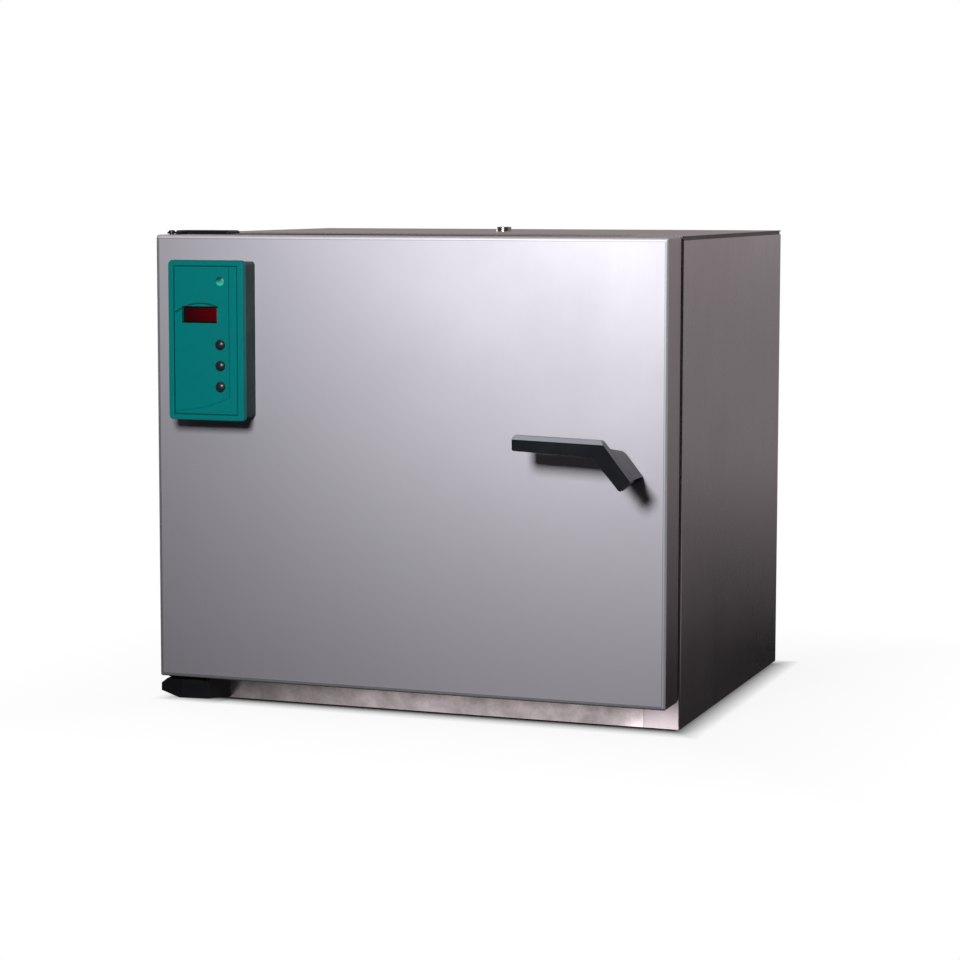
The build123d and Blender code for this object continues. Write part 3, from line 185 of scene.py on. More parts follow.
def own_normal(tree):
    """The surface normal in the piece's own axes, which stays put when the piece moves."""
    return split(tree, "Normal")


def beyond_edges(tree, along, low, high):
    """How far a point lies outside a box, measured along two axes; it is negative inside."""
    place = split(tree, "Object")
    gaps = []
    for axis in along:
        least = getattr(low, axis.lower())
        most = getattr(high, axis.lower())
        offset = math_node(tree, "SUBTRACT", place[axis], (least + most) / 2)
        distance = math_node(tree, "ABSOLUTE", offset)
        gaps.append(math_node(tree, "SUBTRACT", distance, (most - least) / 2))
    return combine(tree, "MAXIMUM", *gaps)


print("made the helpers", own_place.__name__, own_normal.__name__, beyond_edges.__name__)


# %% Grain: long fine scratches along one direction
def grain_group():
    """Fine scratches over coarser ones, long in the direction that has few lines per metre."""
    tree, enter, leave = new_group("rolled_grain", {"Lines per metre": (900.0, 900.0, 25.0)}, ["Grain"])
    fine_share = 0.65
    coarse_scale = 0.19
    stretch = tree.nodes.new("ShaderNodeVectorMath")
    stretch.operation = "MULTIPLY"
    tree.links.new(own_place(tree), stretch.inputs[0])
    tree.links.new(enter.outputs["Lines per metre"], stretch.inputs[1])
    fine = noise(tree, stretch.outputs["Vector"], 1.0, detail=4.0, roughness=0.6)
    coarse = noise(tree, stretch.outputs["Vector"], coarse_scale, detail=2.0)
    fine_part = math_node(tree, "MULTIPLY", fine, fine_share)
    coarse_part = math_node(tree, "MULTIPLY", coarse, 1.0 - fine_share)
    tree.links.new(math_node(tree, "ADD", fine_part, coarse_part), leave.inputs["Grain"])
    return tree


grain = grain_group()
print("made the group", grain.name)


# %% Handling: cloudy smears where the steel was wiped and touched
def handling_group():
    """Cloudy noise drawn apart round its middle; a low sharpness value draws it further."""
    tree, enter, leave = new_group("handling_smears", {"Size": 6.0, "Sharpness": 0.35}, ["Smears"])
    clouds = noise(tree, own_place(tree), enter.outputs["Size"], detail=5.0, roughness=0.62)
    centred = math_node(tree, "SUBTRACT", clouds, 0.5)
    steep = math_node(tree, "DIVIDE", centred, enter.outputs["Sharpness"])
    tree.links.new(math_node(tree, "ADD", steep, 0.5, clamp=True), leave.inputs["Smears"])
    return tree


handling = handling_group()
print("made the group", handling.name)


# %% Worn edges: where a rounded corner turns away from its faces
def edge_group():
    """Marks where a rounded normal differs from the real one, with gaps in the mark."""
    tree, enter, leave = new_group("worn_edges", {"Radius": 0.0015, "Breakup": 60.0}, ["Edge"])
    rounded = tree.nodes.new("ShaderNodeBevel")
    rounded.samples = 6
    tree.links.new(enter.outputs["Radius"], rounded.inputs["Radius"])
    surface = tree.nodes.new("ShaderNodeNewGeometry")
    alike = tree.nodes.new("ShaderNodeVectorMath")
    alike.operation = "DOT_PRODUCT"
    tree.links.new(rounded.outputs["Normal"], alike.inputs[0])
    tree.links.new(surface.outputs["Normal"], alike.inputs[1])
    bent = spread(tree, alike.outputs["Value"], low=0.995, high=0.8)
    clouds = noise(tree, own_place(tree), enter.outputs["Breakup"], detail=4.0)
    broken = spread(tree, clouds, low=0.3, high=0.6)
    tree.links.new(combine(tree, "MULTIPLY", bent, broken), leave.inputs["Edge"])
    return tree


edges = edge_group()
print("made the group", edges.name)


# %% Mould skin: the fine pebbled skin of a moulded or coated part
def skin_group():
    """Pebbles for the height, and wide clouds where the melt flowed."""
    tree, enter, leave = new_group("mould_skin", {"Grains per metre": 1800.0}, ["Skin", "Flow"])
    flow_scale = 22.0
    pebbles = tree.nodes.new("ShaderNodeTexVoronoi")
    pebbles.feature = "SMOOTH_F1"
    tree.links.new(own_place(tree), pebbles.inputs["Vector"])
    tree.links.new(enter.outputs["Grains per metre"], pebbles.inputs["Scale"])
    tree.links.new(pebbles.outputs["Distance"], leave.inputs["Skin"])
    tree.links.new(noise(tree, own_place(tree), flow_scale), leave.inputs["Flow"])
    return tree


skin = skin_group()
print("made the group", skin.name)


# %% Dust: settles on what faces up, in patches
def dust_group():
    """Patches on the faces that look up in the piece's own axes."""
    tree, enter, leave = new_group("settled_dust", {"Patches": 30.0, "Cover": 0.5}, ["Dust"])
    upward = spread(tree, own_normal(tree)["Z"], low=0.6, high=1.0)
    clouds = noise(tree, own_place(tree), enter.outputs["Patches"], detail=5.0, roughness=0.65)
    patches = spread(tree, clouds, low=0.35, high=0.75)
    lying = combine(tree, "MULTIPLY", upward, patches, enter.outputs["Cover"])
    tree.links.new(lying, leave.inputs["Dust"])
    return tree


dust = dust_group()
print("made the group", dust.name)


# %% Crease shade: painted shade for grooves and inner corners, where light hardly reaches
def crease_shade_group():
    """Marks what the piece itself hides within the given width, where a material paints shade."""
    tree, enter, leave = new_group("crease_shade", {"Width": 0.003}, ["Crease"])
    shade = tree.nodes.new("ShaderNodeAmbientOcclusion")
    shade.samples = 6
    shade.only_local = True
    tree.links.new(enter.outputs["Width"], shade.inputs["Distance"])
    tree.links.new(spread(tree, shade.outputs["AO"], low=0.95, high=0.35), leave.inputs["Crease"])
    return tree


crease_shade = crease_shade_group()
print("made the group", crease_shade.name)

# %% [markdown]
# ## Finishes
# Every finish starts from two close colours and a range of roughness, and a mask goes through
# both: smears on steel, flow marks on plastic. A third colour lies on the edges. One maker of
# finishes could hold all of this behind switches, but a short wiring helper that each finish calls
# for what it shows reads better, and a finish can still add something of its own.

# %% Helpers that wire a finish
def use(tree, group, **values):
    """Places a node group; underscores in the names of values stand for spaces."""
    node = tree.nodes.new("ShaderNodeGroup")
    node.node_tree = group
    for label, value in values.items():
        node.inputs[label.replace("_", " ")].default_value = value
    return node


def mix_colour(tree, mask, first, second):
    """A colour mix; each colour is a socket or a linear (r, g, b)."""
    node = tree.nodes.new("ShaderNodeMix")
    node.data_type = "RGBA"
    tree.links.new(mask, node.inputs["Factor"])
    for socket, colour in ((node.inputs[6], first), (node.inputs[7], second)):
        if isinstance(colour, tuple):
            socket.default_value = (*colour, 1.0)
        else:
            tree.links.new(colour, socket)
    return node.outputs[2]


def start_finish(name, metallic=0.0, **constants):
    """A material with a Principled shader whose constant values sit on its own sockets."""
    material = bpy.data.materials.new(name)
    material.use_nodes = True
    shader = material.node_tree.nodes["Principled BSDF"]
    shader.inputs["Metallic"].default_value = metallic
    for label, value in constants.items():
        shader.inputs[label.replace("_", " ")].default_value = value
    return material, material.node_tree, shader


def source(shader, label):
    """The socket that feeds one of the shader's inputs."""
    return shader.inputs[label].links[0].from_socket


def raise_surface(tree, shader, height, strength, distance):
    """Sends a height through a Bump node into the shader's normal."""
    bump = tree.nodes.new("ShaderNodeBump")
    bump.inputs["Strength"].default_value = strength
    bump.inputs["Distance"].default_value = distance
    tree.links.new(height, bump.inputs["Height"])
    tree.links.new(bump.outputs["Normal"], shader.inputs["Normal"])
    return bump


print("made the helpers", use.__name__, mix_colour.__name__, start_finish.__name__)

# %% [markdown]
# ### Steel
# The casing is cold rolled stainless sheet with a satin surface: it mirrors, but as a blur. A
# mirror with a texture laid on it would look like foil. What reads as satin is a middling
# roughness that varies a little from place to place, and a grain too fine to count. The chamber
# inside is the same steel, and its heat has turned it slightly straw coloured.

# %% How a steel is made
def steel(name, colour, tint, rough, grain_lines, smear_size=5.0, depth=0.12, rough_spread=0.08):
    """Rolled or brushed sheet: two close colours, a directional grain and rubbed edges."""
    material, tree, shader = start_finish(name, metallic=1.0)
    grain_node = use(tree, grain, Lines_per_metre=grain_lines)
    smears = use(tree, handling, Size=smear_size, Sharpness=0.5)
    edge = use(tree, edges, Radius=0.0012, Breakup=45.0)
    clouded = mix_colour(tree, smears.outputs["Smears"], colour, tint)
    wear_and_highlight = tuple(min(1.0, channel * 1.25) for channel in colour)
    final = mix_colour(tree, edge.outputs["Edge"], clouded, wear_and_highlight)
    tree.links.new(final, shader.inputs["Base Color"])
    uneven = math_node(tree, "ADD", grain_node.outputs["Grain"], smears.outputs["Smears"])
    smoothest = rough - rough_spread
    roughest = rough + rough_spread
    roughness = spread(tree, uneven, low=0.2, high=1.6, to_low=smoothest, to_high=roughest)
    tree.links.new(roughness, shader.inputs["Roughness"])
    raise_surface(tree, shader, grain_node.outputs["Grain"], depth, distance=0.0004)
    return material


upright_grain = (420.0, 420.0, 9.0)
level_grain = (9.0, 420.0, 420.0)
deep_grain = (420.0, 9.0, 420.0)
streaked_grain = (60.0, 60.0, 4.0)
print("the fine grain has", upright_grain[0], "lines per metre")

# %% Steels of the sides, rail, chamber, shelves and pins
# The sides' colour is a darker, pinker copy of the door's steel: painted shade.
shaded_side_steel = steel(
    "shaded_side_steel", (0.56, 0.51, 0.54), (0.51, 0.465, 0.49), 0.28, upright_grain, smear_size=4.0, depth=0.06
)
rail_steel = steel(
    "rail_steel", (0.72, 0.67, 0.68), (0.36, 0.33, 0.33), 0.2, streaked_grain, smear_size=26.0, depth=0.1
)
liner_steel = steel(
    "liner_steel", (0.60, 0.585, 0.55), (0.55, 0.52, 0.47), 0.33, deep_grain, smear_size=7.0
)
shelf_steel = steel(
    "shelf_steel", (0.62, 0.61, 0.59), (0.57, 0.555, 0.53), 0.3, level_grain, smear_size=9.0
)
pin_steel = steel(
    "pin_steel", (0.10, 0.10, 0.105), (0.07, 0.07, 0.075), 0.32, level_grain, smear_size=30.0
)
print("steels:", [material.name for material in bpy.data.materials if material.name.endswith("_steel")])

# %% [markdown]
# ### Bent sheet
# Where a sheet is bent round a corner, its narrow faces mirror another part of the room. Here they
# get painted shade: the door's sides a darker, smoother colour, and the top panel's flanges a near
# black one for the shade of the joint. They belong to the same pieces as the wide faces, so they get
# no material of their own: a mask reads where the surface looks and mixes in the darker colour. The
# door's front also has a hem about 4 mm wide. It is too shallow to be worth modelling, so a sloping
# height shows it, with a painted dark line of shade where it starts and a painted highlight on the
# three edges away from the hinge.

# %% Door and top panel
def facing_mask(tree, axis, low, high):
    """How much a face looks along an axis, either way: 0 below low and 1 above high."""
    return spread(tree, math_node(tree, "ABSOLUTE", own_normal(tree)[axis]), low, high)


def paint_shade_by_facing(material, axis, low, high, colour, rough_share=1.0):
    """Paints shade on the faces that don't look along an axis: a given darker colour and a share of the
    roughness.
    """
    tree = material.node_tree
    shader = tree.nodes["Principled BSDF"]
    along = facing_mask(tree, axis, low, high)
    mixed = mix_colour(tree, along, colour, source(shader, "Base Color"))
    tree.links.new(mixed, shader.inputs["Base Color"])
    share = spread(tree, along, low=0.0, high=1.0, to_low=rough_share, to_high=1.0)
    eased = math_node(tree, "MULTIPLY", source(shader, "Roughness"), share)
    tree.links.new(eased, shader.inputs["Roughness"])


door_steel = steel(
    "door_steel",
    (0.64, 0.625, 0.68),
    (0.61, 0.59, 0.65),
    0.605,
    upright_grain,
    smear_size=5.0,
    depth=0.04,
    rough_spread=0.03,
)
# The door's narrow side faces get a darker colour: painted shade.
paint_shade_by_facing(door_steel, "Y", low=0.1, high=0.35, colour=(0.50, 0.45, 0.48), rough_share=0.5)
# The top panel's colour is a darker, browner copy of the door's steel: painted shade.
shaded_top_steel = steel("shaded_top_steel", (0.46, 0.40, 0.395), (0.40, 0.345, 0.34), 0.34, level_grain)
# The top panel's flanges get a near black colour: painted shade of the joint between top and sides.
paint_shade_by_facing(shaded_top_steel, "Z", low=0.5, high=0.9, colour=(0.055, 0.045, 0.045))
print("made", door_steel.name, "and", shaded_top_steel.name)


# %% The door's hem
def add_hem(material, node, width, fall):
    """A hem that slopes to the edges of a front face, with a painted dark line of shade and a painted
    highlight on three edges.
    """
    tree = material.node_tree
    shader = tree.nodes["Principled BSDF"]
    low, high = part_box(node)
    inward = math_node(tree, "MULTIPLY", beyond_edges(tree, "XZ", low, high), -1.0)
    from_line = math_node(tree, "ABSOLUTE", math_node(tree, "SUBTRACT", inward, width))
    # A thin dark line where the hem starts: painted shade.
    line = spread(tree, from_line, low=0.0002, high=0.0007, to_low=0.45, to_high=0.0)
    # The hinge side gets no painted highlight: a box that reaches far past it leaves only the other edges
    # near.
    far_left = Vector((low.x - 1.0, low.y, low.z))
    highlight_edges = spread(tree, beyond_edges(tree, "XZ", far_left, high), low=-width, high=-width / 2)
    in_front = facing_mask(tree, "Y", low=0.35, high=0.7)
    # Near white on the three edges away from the hinge: a painted highlight.
    wear_and_highlight = combine(tree, "MULTIPLY", highlight_edges, in_front)
    bright = mix_colour(tree, wear_and_highlight, source(shader, "Base Color"), (0.97, 0.96, 0.99))
    shade_lined = mix_colour(tree, line, bright, (0.1, 0.095, 0.1))
    tree.links.new(shade_lined, shader.inputs["Base Color"])
    grained = source(shader, "Normal")
    height = spread(tree, inward, low=0.0, high=width)
    sloped = raise_surface(tree, shader, height, strength=1.0, distance=fall)
    tree.links.new(grained, sloped.inputs["Normal"])


hem_width = 0.0042
hem_fall = 0.0006
add_hem(door_steel, "door_skin", hem_width, hem_fall)
print("the hem is", round(hem_width * 1000, 1), "mm wide")


# %% Galvanised sheet: zinc crystals as pale and dark patches
def galvanised_finish():
    """Zinc crystals of many greys, dulled in clouds."""
    material, tree, shader = start_finish("galvanised", metallic=0.9)
    crystals = tree.nodes.new("ShaderNodeTexVoronoi")
    crystals.inputs["Scale"].default_value = 70.0
    crystals.inputs["Randomness"].default_value = 1.0
    tree.links.new(own_place(tree), crystals.inputs["Vector"])
    tone = tree.nodes.new("ShaderNodeSeparateColor")
    tree.links.new(crystals.outputs["Color"], tone.inputs["Color"])
    smears = use(tree, handling, Size=9.0, Sharpness=0.6)
    spangle = mix_colour(tree, tone.outputs["Red"], (0.36, 0.37, 0.38), (0.52, 0.53, 0.54))
    dull = math_node(tree, "MULTIPLY", smears.outputs["Smears"], 0.35)
    clouded = mix_colour(tree, dull, spangle, (0.40, 0.40, 0.39))
    tree.links.new(clouded, shader.inputs["Base Color"])
    roughness = spread(tree, tone.outputs["Green"], low=0.0, high=1.0, to_low=0.36, to_high=0.52)
    tree.links.new(roughness, shader.inputs["Roughness"])
    raise_surface(tree, shader, tone.outputs["Blue"], strength=0.12, distance=0.0002)
    return material


galvanised = galvanised_finish()
print("made", galvanised.name)

# %% [markdown]
# ### Plastics, rubber and paint
# Moulded plastic is rarely one flat colour: the melt leaves faint flow marks, the mould leaves a
# pebbled skin, and hands polish the edges. Those three do for most parts, in different amounts.
# The teal cover also gets painted shade in its grooves, the handle a painted highlight on its upward
# face, and dust lies on rubber and nylon.

# %% How a plastic is made
def moulded(
    name,
    colour,
    flow,
    rough,
    grains=1800.0,
    depth=0.06,
    rub=None,
    dusty=0.0,
    coat=0.0,
    shine=0.4,
    groove_shade=None,
    slope_highlight=None,
):
    """Plastic, rubber or paint: two close colours, a pebbled skin, polished edges, some dust, and when given,
    painted shade in grooves and a painted highlight on faces that look up and forward.
    """
    material, tree, shader = start_finish(
        name, Coat_Weight=coat, Coat_Roughness=0.12, Specular_IOR_Level=shine
    )
    skin_node = use(tree, skin, Grains_per_metre=grains)
    edge = use(tree, edges, Radius=0.0010, Breakup=90.0)
    body = mix_colour(tree, skin_node.outputs["Flow"], colour, flow)
    wear_and_highlight = rub or tuple(min(1.0, channel * 1.5 + 0.01) for channel in colour)
    worn = mix_colour(tree, edge.outputs["Edge"], body, wear_and_highlight)
    # Painted shade: a darker colour in the grooves.
    if groove_shade:
        crease = use(tree, crease_shade, Width=0.0036)
        worn = mix_colour(tree, crease.outputs["Crease"], worn, groove_shade)
    # Painted highlight: a paler colour on faces that look up and forward.
    if slope_highlight:
        facing = own_normal(tree)
        upward = spread(tree, facing["Z"], low=0.55, high=0.62)
        forward = spread(tree, facing["Y"], low=-0.55, high=-0.62)
        worn = mix_colour(tree, combine(tree, "MULTIPLY", upward, forward), worn, slope_highlight)
    if dusty:
        lying = use(tree, dust, Patches=45.0, Cover=dusty)
        worn = mix_colour(tree, lying.outputs["Dust"], worn, (0.42, 0.40, 0.38))
    tree.links.new(worn, shader.inputs["Base Color"])
    flow_marks = skin_node.outputs["Flow"]
    roughness = spread(tree, flow_marks, low=0.25, high=0.75, to_low=rough - 0.06, to_high=rough + 0.06)
    tree.links.new(roughness, shader.inputs["Roughness"])
    raise_surface(tree, shader, skin_node.outputs["Skin"], depth, distance=0.0003)
    return material


print("made the helper", moulded.__name__)

# %% Controller, buttons and handle
teal = moulded(
    "controller_teal",
    (0.0, 0.165, 0.165),
    (0.0, 0.145, 0.146),
    0.42,
    rub=(0.003, 0.25, 0.22),
    shine=0.08,
    # Near black teal in the grooves: painted shade.
    groove_shade=(0.0, 0.055, 0.053),
)
dark_box = moulded("controller_dark", (0.005, 0.029, 0.028), (0.004, 0.024, 0.023), 0.45, shine=0.12)
button_gloss = moulded(
    "button_black", (0.012, 0.016, 0.026), (0.009, 0.012, 0.020), 0.33, grains=600.0, depth=0.01, coat=0.1
)
switch_black = moulded("switch_black", (0.02, 0.02, 0.02), (0.015, 0.015, 0.015), 0.4)
display_black = moulded("display_black", (0.012, 0.01, 0.011), (0.009, 0.008, 0.008), 0.3)
black_grip = moulded(
    "black_handle",
    (0.0035, 0.0040, 0.0085),
    (0.0025, 0.0030, 0.0065),
    0.33,
    grains=1400.0,
    depth=0.05,
    shine=0.3,
    # A pale grey on the grip's upward face: painted highlight.
    slope_highlight=(0.31, 0.32, 0.36),
)
print("made", teal.name, dark_box.name, button_gloss.name, black_grip.name)

# %% Feet, seal, small parts, paint and ceramic
nylon = moulded(
    "nylon_black", (0.022, 0.022, 0.023), (0.017, 0.017, 0.018), 0.45, grains=1500.0, depth=0.08, dusty=0.2
)
terminal_cream = moulded("terminal_plastic", (0.52, 0.50, 0.44), (0.47, 0.45, 0.39), 0.42)
rubber = moulded(
    "rubber_black", (0.022, 0.021, 0.021), (0.016, 0.016, 0.016), 0.72, grains=900.0, depth=0.25, dusty=0.35
)
silicone = moulded("silicone_seal", (0.34, 0.10, 0.055), (0.30, 0.085, 0.045), 0.5, grains=700.0, depth=0.12)
black_paint = moulded(
    "black_painted", (0.006, 0.006, 0.008), (0.004, 0.004, 0.005), 0.38, grains=1000.0, depth=0.08, shine=0.25
)
ceramic = moulded("ceramic_white", (0.72, 0.70, 0.66), (0.66, 0.64, 0.60), 0.35, grains=1200.0, depth=0.04)
print("made", nylon.name, terminal_cream.name, rubber.name, silicone.name, black_paint.name, ceramic.name)

# %% [markdown]
# ### Window and lamp
# The display window is red acrylic: the dark module behind it shows through, so it is a clear
# shader with a red colour rather than red paint. Its red is painted darker towards the left, and a
# near black band round its edges stands for the shade of the recess it sits in: both are painted
# shade. The lamp is a green plastic lens whose lower half is painted lit and faintly glowing, and
# whose upper half is painted dark.

# %% Window
def window_finish():
    """Red acrylic with painted shade, darker at the left and with a near black band round the edges; faint
    smears.
    """
    material, tree, shader = start_finish("window_red", Transmission_Weight=0.85, IOR=1.49)
    shade_band_width = 0.0044
    shade_band_blur = 0.0002
    low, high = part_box("display_window")
    across = spread(tree, split(tree, "Object")["X"], low.x, high.x)
    # Darker towards the left: painted shade.
    tint_and_shade = mix_colour(tree, across, (0.13, 0.006, 0.022), (0.50, 0.006, 0.012))
    outside = beyond_edges(tree, "XZ", low, high)
    # A near black band round the edges: painted shade of the recess.
    shade_band = spread(tree, outside, low=-shade_band_width - shade_band_blur, high=-shade_band_width + shade_band_blur)
    shade_banded = mix_colour(tree, shade_band, tint_and_shade, (0.004, 0.003, 0.004))
    tree.links.new(shade_banded, shader.inputs["Base Color"])
    smears = use(tree, handling, Size=60.0, Sharpness=0.8)
    roughness = spread(tree, smears.outputs["Smears"], low=0, high=1, to_low=0.05, to_high=0.12)
    tree.links.new(roughness, shader.inputs["Roughness"])
    return material


window_red = window_finish()
print("made", window_red.name)


# %% Lamp
def lamp_finish():
    """A green lens with painted light: dark painted shade above its middle, and below it a mottled painted
    light that also glows.
    """
    material, tree, shader = start_finish("lamp_green", Specular_IOR_Level=0.3, Emission_Strength=0.22)
    low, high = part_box("indicator_lens")
    middle = (low.z + high.z) / 2
    lit_below = middle - 0.003
    dark_above = middle + 0.002
    # Painted light below the middle and painted shade above it.
    painted_glow = spread(tree, split(tree, "Object")["Z"], lit_below, dark_above, to_low=1.0, to_high=0.0)
    flow = use(tree, skin, Grains_per_metre=900.0)
    uneven = spread(tree, flow.outputs["Flow"], low=0.2, high=0.8, to_low=0.8, to_high=1.0)
    mottled_glow = combine(tree, "MULTIPLY", painted_glow, uneven)
    colour = mix_colour(tree, mottled_glow, (0.0, 0.07, 0.06), (0.02, 0.45, 0.28))
    tree.links.new(colour, shader.inputs["Base Color"])
    # The emission is painted light too, strong in the lower half only.
    light = mix_colour(tree, mottled_glow, (0.0, 0.01, 0.01), (0.01, 0.52, 0.34))
    tree.links.new(light, shader.inputs["Emission Color"])
    roughness = spread(tree, flow.outputs["Skin"], low=0, high=1, to_low=0.3, to_high=0.45)
    tree.links.new(roughness, shader.inputs["Roughness"])
    return material


lamp_green = lamp_finish()
print("made", lamp_green.name)

# %% [markdown]
# ### Wool, board and small metals
# The fibres of mineral wool are too fine to draw one by one, so fine noise over coarse noise
# stands for them. The circuit board is green lacquer over copper, and the joints of a brick
# pattern give its tracks. Zinc plated screws, bronze bushes and the heaters' scaled sheath are
# made like the steels, with other colours and a grain that has no direction.

# %% Mineral wool
def wool_finish():
    """Pale fibres over dark gaps, on a lumpy ground."""
    material, tree, shader = start_finish("mineral_wool", Sheen_Weight=0.3)
    fibres = noise(tree, own_place(tree), 260.0, detail=8.0, roughness=0.8)
    lumps = noise(tree, own_place(tree), 35.0)
    colour = mix_colour(tree, fibres, (0.30, 0.26, 0.14), (0.66, 0.60, 0.40))
    tree.links.new(colour, shader.inputs["Base Color"])
    roughness = spread(tree, lumps, low=0, high=1, to_low=0.85, to_high=1.0)
    tree.links.new(roughness, shader.inputs["Roughness"])
    raise_surface(tree, shader, math_node(tree, "ADD", fibres, lumps), strength=0.8, distance=0.004)
    return material


mineral_wool = wool_finish()
print("made", mineral_wool.name)


# %% Circuit board
def board_finish():
    """Green lacquer with paler copper tracks under it."""
    material, tree, shader = start_finish("circuit_board", Coat_Weight=0.3)
    tracks = tree.nodes.new("ShaderNodeTexBrick")
    tracks.inputs["Scale"].default_value = 120.0
    tracks.inputs["Mortar Size"].default_value = 0.08
    tracks.inputs["Color1"].default_value = (0.01, 0.11, 0.05, 1.0)
    tracks.inputs["Color2"].default_value = (0.01, 0.09, 0.04, 1.0)
    tracks.inputs["Mortar"].default_value = (0.03, 0.20, 0.08, 1.0)
    tree.links.new(own_place(tree), tracks.inputs["Vector"])
    tree.links.new(tracks.outputs["Color"], shader.inputs["Base Color"])
    roughness = spread(tree, tracks.outputs["Fac"], low=0, high=1, to_low=0.35, to_high=0.2)
    tree.links.new(roughness, shader.inputs["Roughness"])
    return material


circuit_board = board_finish()
print("made", circuit_board.name)

# %% Zinc, bronze and the heaters' sheath
turned_grain = (300.0, 300.0, 300.0)
scale_grain = (200.0, 200.0, 200.0)
zinc = steel(
    "zinc_screw", (0.56, 0.56, 0.55), (0.48, 0.48, 0.46), 0.3, turned_grain, smear_size=80.0, depth=0.05
)
bronze = steel(
    "bronze_bush", (0.50, 0.30, 0.14), (0.42, 0.25, 0.12), 0.35, turned_grain, smear_size=60.0, depth=0.05
)
sheath = steel(
    "heater_sheath", (0.27, 0.23, 0.20), (0.17, 0.145, 0.13), 0.48, scale_grain, smear_size=25.0, depth=0.2
)
print("made", zinc.name, bronze.name, sheath.name)

# %% [markdown]
# ## Dressing the construction
# Each node of the construction gets its finish by name. The material goes into the slots that the
# node already has, because its mesh must stay as it is.

# %% Which finish each node wears
finish_of = {
    door_steel: ["door_skin"],
    shaded_side_steel: ["right_side_panel", "left_side_panel"],
    shaded_top_steel: ["top_panel"],
    rail_steel: ["lower_front_rail", "upper_front_rail", "vent_tube"],
    liner_steel: [
        "liner_left_wall",
        "liner_right_wall",
        "liner_roof",
        "liner_floor",
        "liner_back",
        "left_shelf_runners",
        "right_shelf_runners",
        "heater_cover",
        "door_inner_pan",
        "temperature_probe",
    ],
    shelf_steel: ["lower_shelf", "upper_shelf", "latch_keeper"],
    galvanised: ["rear_panel", "base_pan", "door_hinge_blocks"],
    pin_steel: ["upper_hinge_pin", "lower_hinge_pin", "hinge_washer", "latch_spindle", "latch_tongue"],
    zinc: ["rear_panel_screws", "keeper_screws", "hinge_screws"],
    black_paint: ["upper_hinge_bracket", "lower_hinge_bracket"],
    bronze: ["door_hinge_bushes", "latch_bushing"],
    sheath: ["tubular_heaters"],
    ceramic: ["heater_terminals"],
    rubber: ["rubber_feet"],
    silicone: ["door_gasket"],
    nylon: ["cable_gland", "power_relay"],
    terminal_cream: ["terminal_block"],
    mineral_wool: [
        "insulation_left",
        "insulation_right",
        "insulation_top",
        "insulation_bottom",
        "insulation_rear",
        "door_insulation",
    ],
    black_grip: ["handle_lever"],
    teal: ["controller_cover"],
    dark_box: ["controller_base"],
    window_red: ["display_window"],
    display_black: ["display_module"],
    circuit_board: ["controller_board"],
    switch_black: ["tact_switches"],
    lamp_green: ["indicator_lens"],
    button_gloss: ["button_1", "button_2", "button_3"],
}
dressed = 0
for finish, names in finish_of.items():
    for name in names:
        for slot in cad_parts[name].material_slots:
            slot.material = finish
        dressed += 1
print(dressed, "of", len(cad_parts), "nodes dressed")

# %% [markdown]
# ## Buttons and lamp
# The buttons are small polished domes, and each shows one spot of the key lamp. A turned shape is
# made the way a lathe makes it: a disc is drawn out ring by ring along its profile. Subdividing a
# cylinder would round it too, but a dome's curve decides where its highlight lies, so its rings
# follow a circle's arc.

# %% Turning a shape
def turned(name, profile, segments=48):
    """A body of revolution about +Z, drawn out ring by ring; profile is a list of (radius, height)."""
    bpy.ops.object.select_all(action="DESELECT")
    first_radius, first_height = profile[0]
    bpy.ops.mesh.primitive_circle_add(
        vertices=segments, radius=first_radius, fill_type="NGON", location=(0, 0, first_height)
    )
    piece = bpy.context.object
    piece.name = name
    bpy.ops.object.transform_apply(location=True, rotation=False, scale=False)
    bpy.ops.object.mode_set(mode="EDIT")
    bpy.ops.mesh.select_all(action="SELECT")
    for (radius, height), (next_radius, next_height) in zip(profile, profile[1:]):
        bpy.ops.mesh.extrude_region_move(TRANSFORM_OT_translate={"value": (0, 0, next_height - height)})
        ratio = next_radius / radius
        bpy.ops.transform.resize(value=(ratio, ratio, 1), center_override=(0, 0, next_height))
    bpy.ops.mesh.select_all(action="DESELECT")
    bpy.ops.mesh.select_non_manifold()
    bpy.ops.mesh.edge_face_add()
    bpy.ops.mesh.select_all(action="SELECT")
    bpy.ops.mesh.normals_make_consistent(inside=False)
    bpy.ops.object.mode_set(mode="OBJECT")
    bpy.ops.object.shade_smooth_by_angle(angle=math.radians(40))
    return piece


def dome(radius, rise, rings=9, tip=0.12):
    """The profile of a dome whose rim lies at height 0, from the rim to its tip."""
    sphere = (radius**2 + rise**2) / (2 * rise)
    half_angle = math.asin(radius / sphere)
    angles = [half_angle * (1 - step / rings * (1 - tip)) for step in range(rings + 1)]
    return [(sphere * math.sin(a), sphere * (math.cos(a) - math.cos(half_angle))) for a in angles]


print("made the helpers", turned.__name__, dome.__name__)


# %% Putting a copy in its place
def put(piece, name, place, facing="front", spin=0.0):
    """A copy with its own mesh, spun about its axis, its +Z turned to the given side."""
    tilt = {"front": math.pi / 2, "rear": -math.pi / 2, "up": 0.0}[facing]
    copy = piece.copy()
    copy.data = piece.data.copy()
    copy.name = name
    bpy.context.scene.collection.objects.link(copy)
    bpy.ops.object.select_all(action="DESELECT")
    copy.select_set(True)
    bpy.context.view_layer.objects.active = copy
    turn = Matrix.Rotation(tilt, 4, "X") @ Matrix.Rotation(spin, 4, "Z")
    copy.matrix_world = Matrix.Translation(place) @ turn
    bpy.ops.object.transform_apply(location=True, rotation=True, scale=True)
    return copy


print("made the helper", put.__name__)

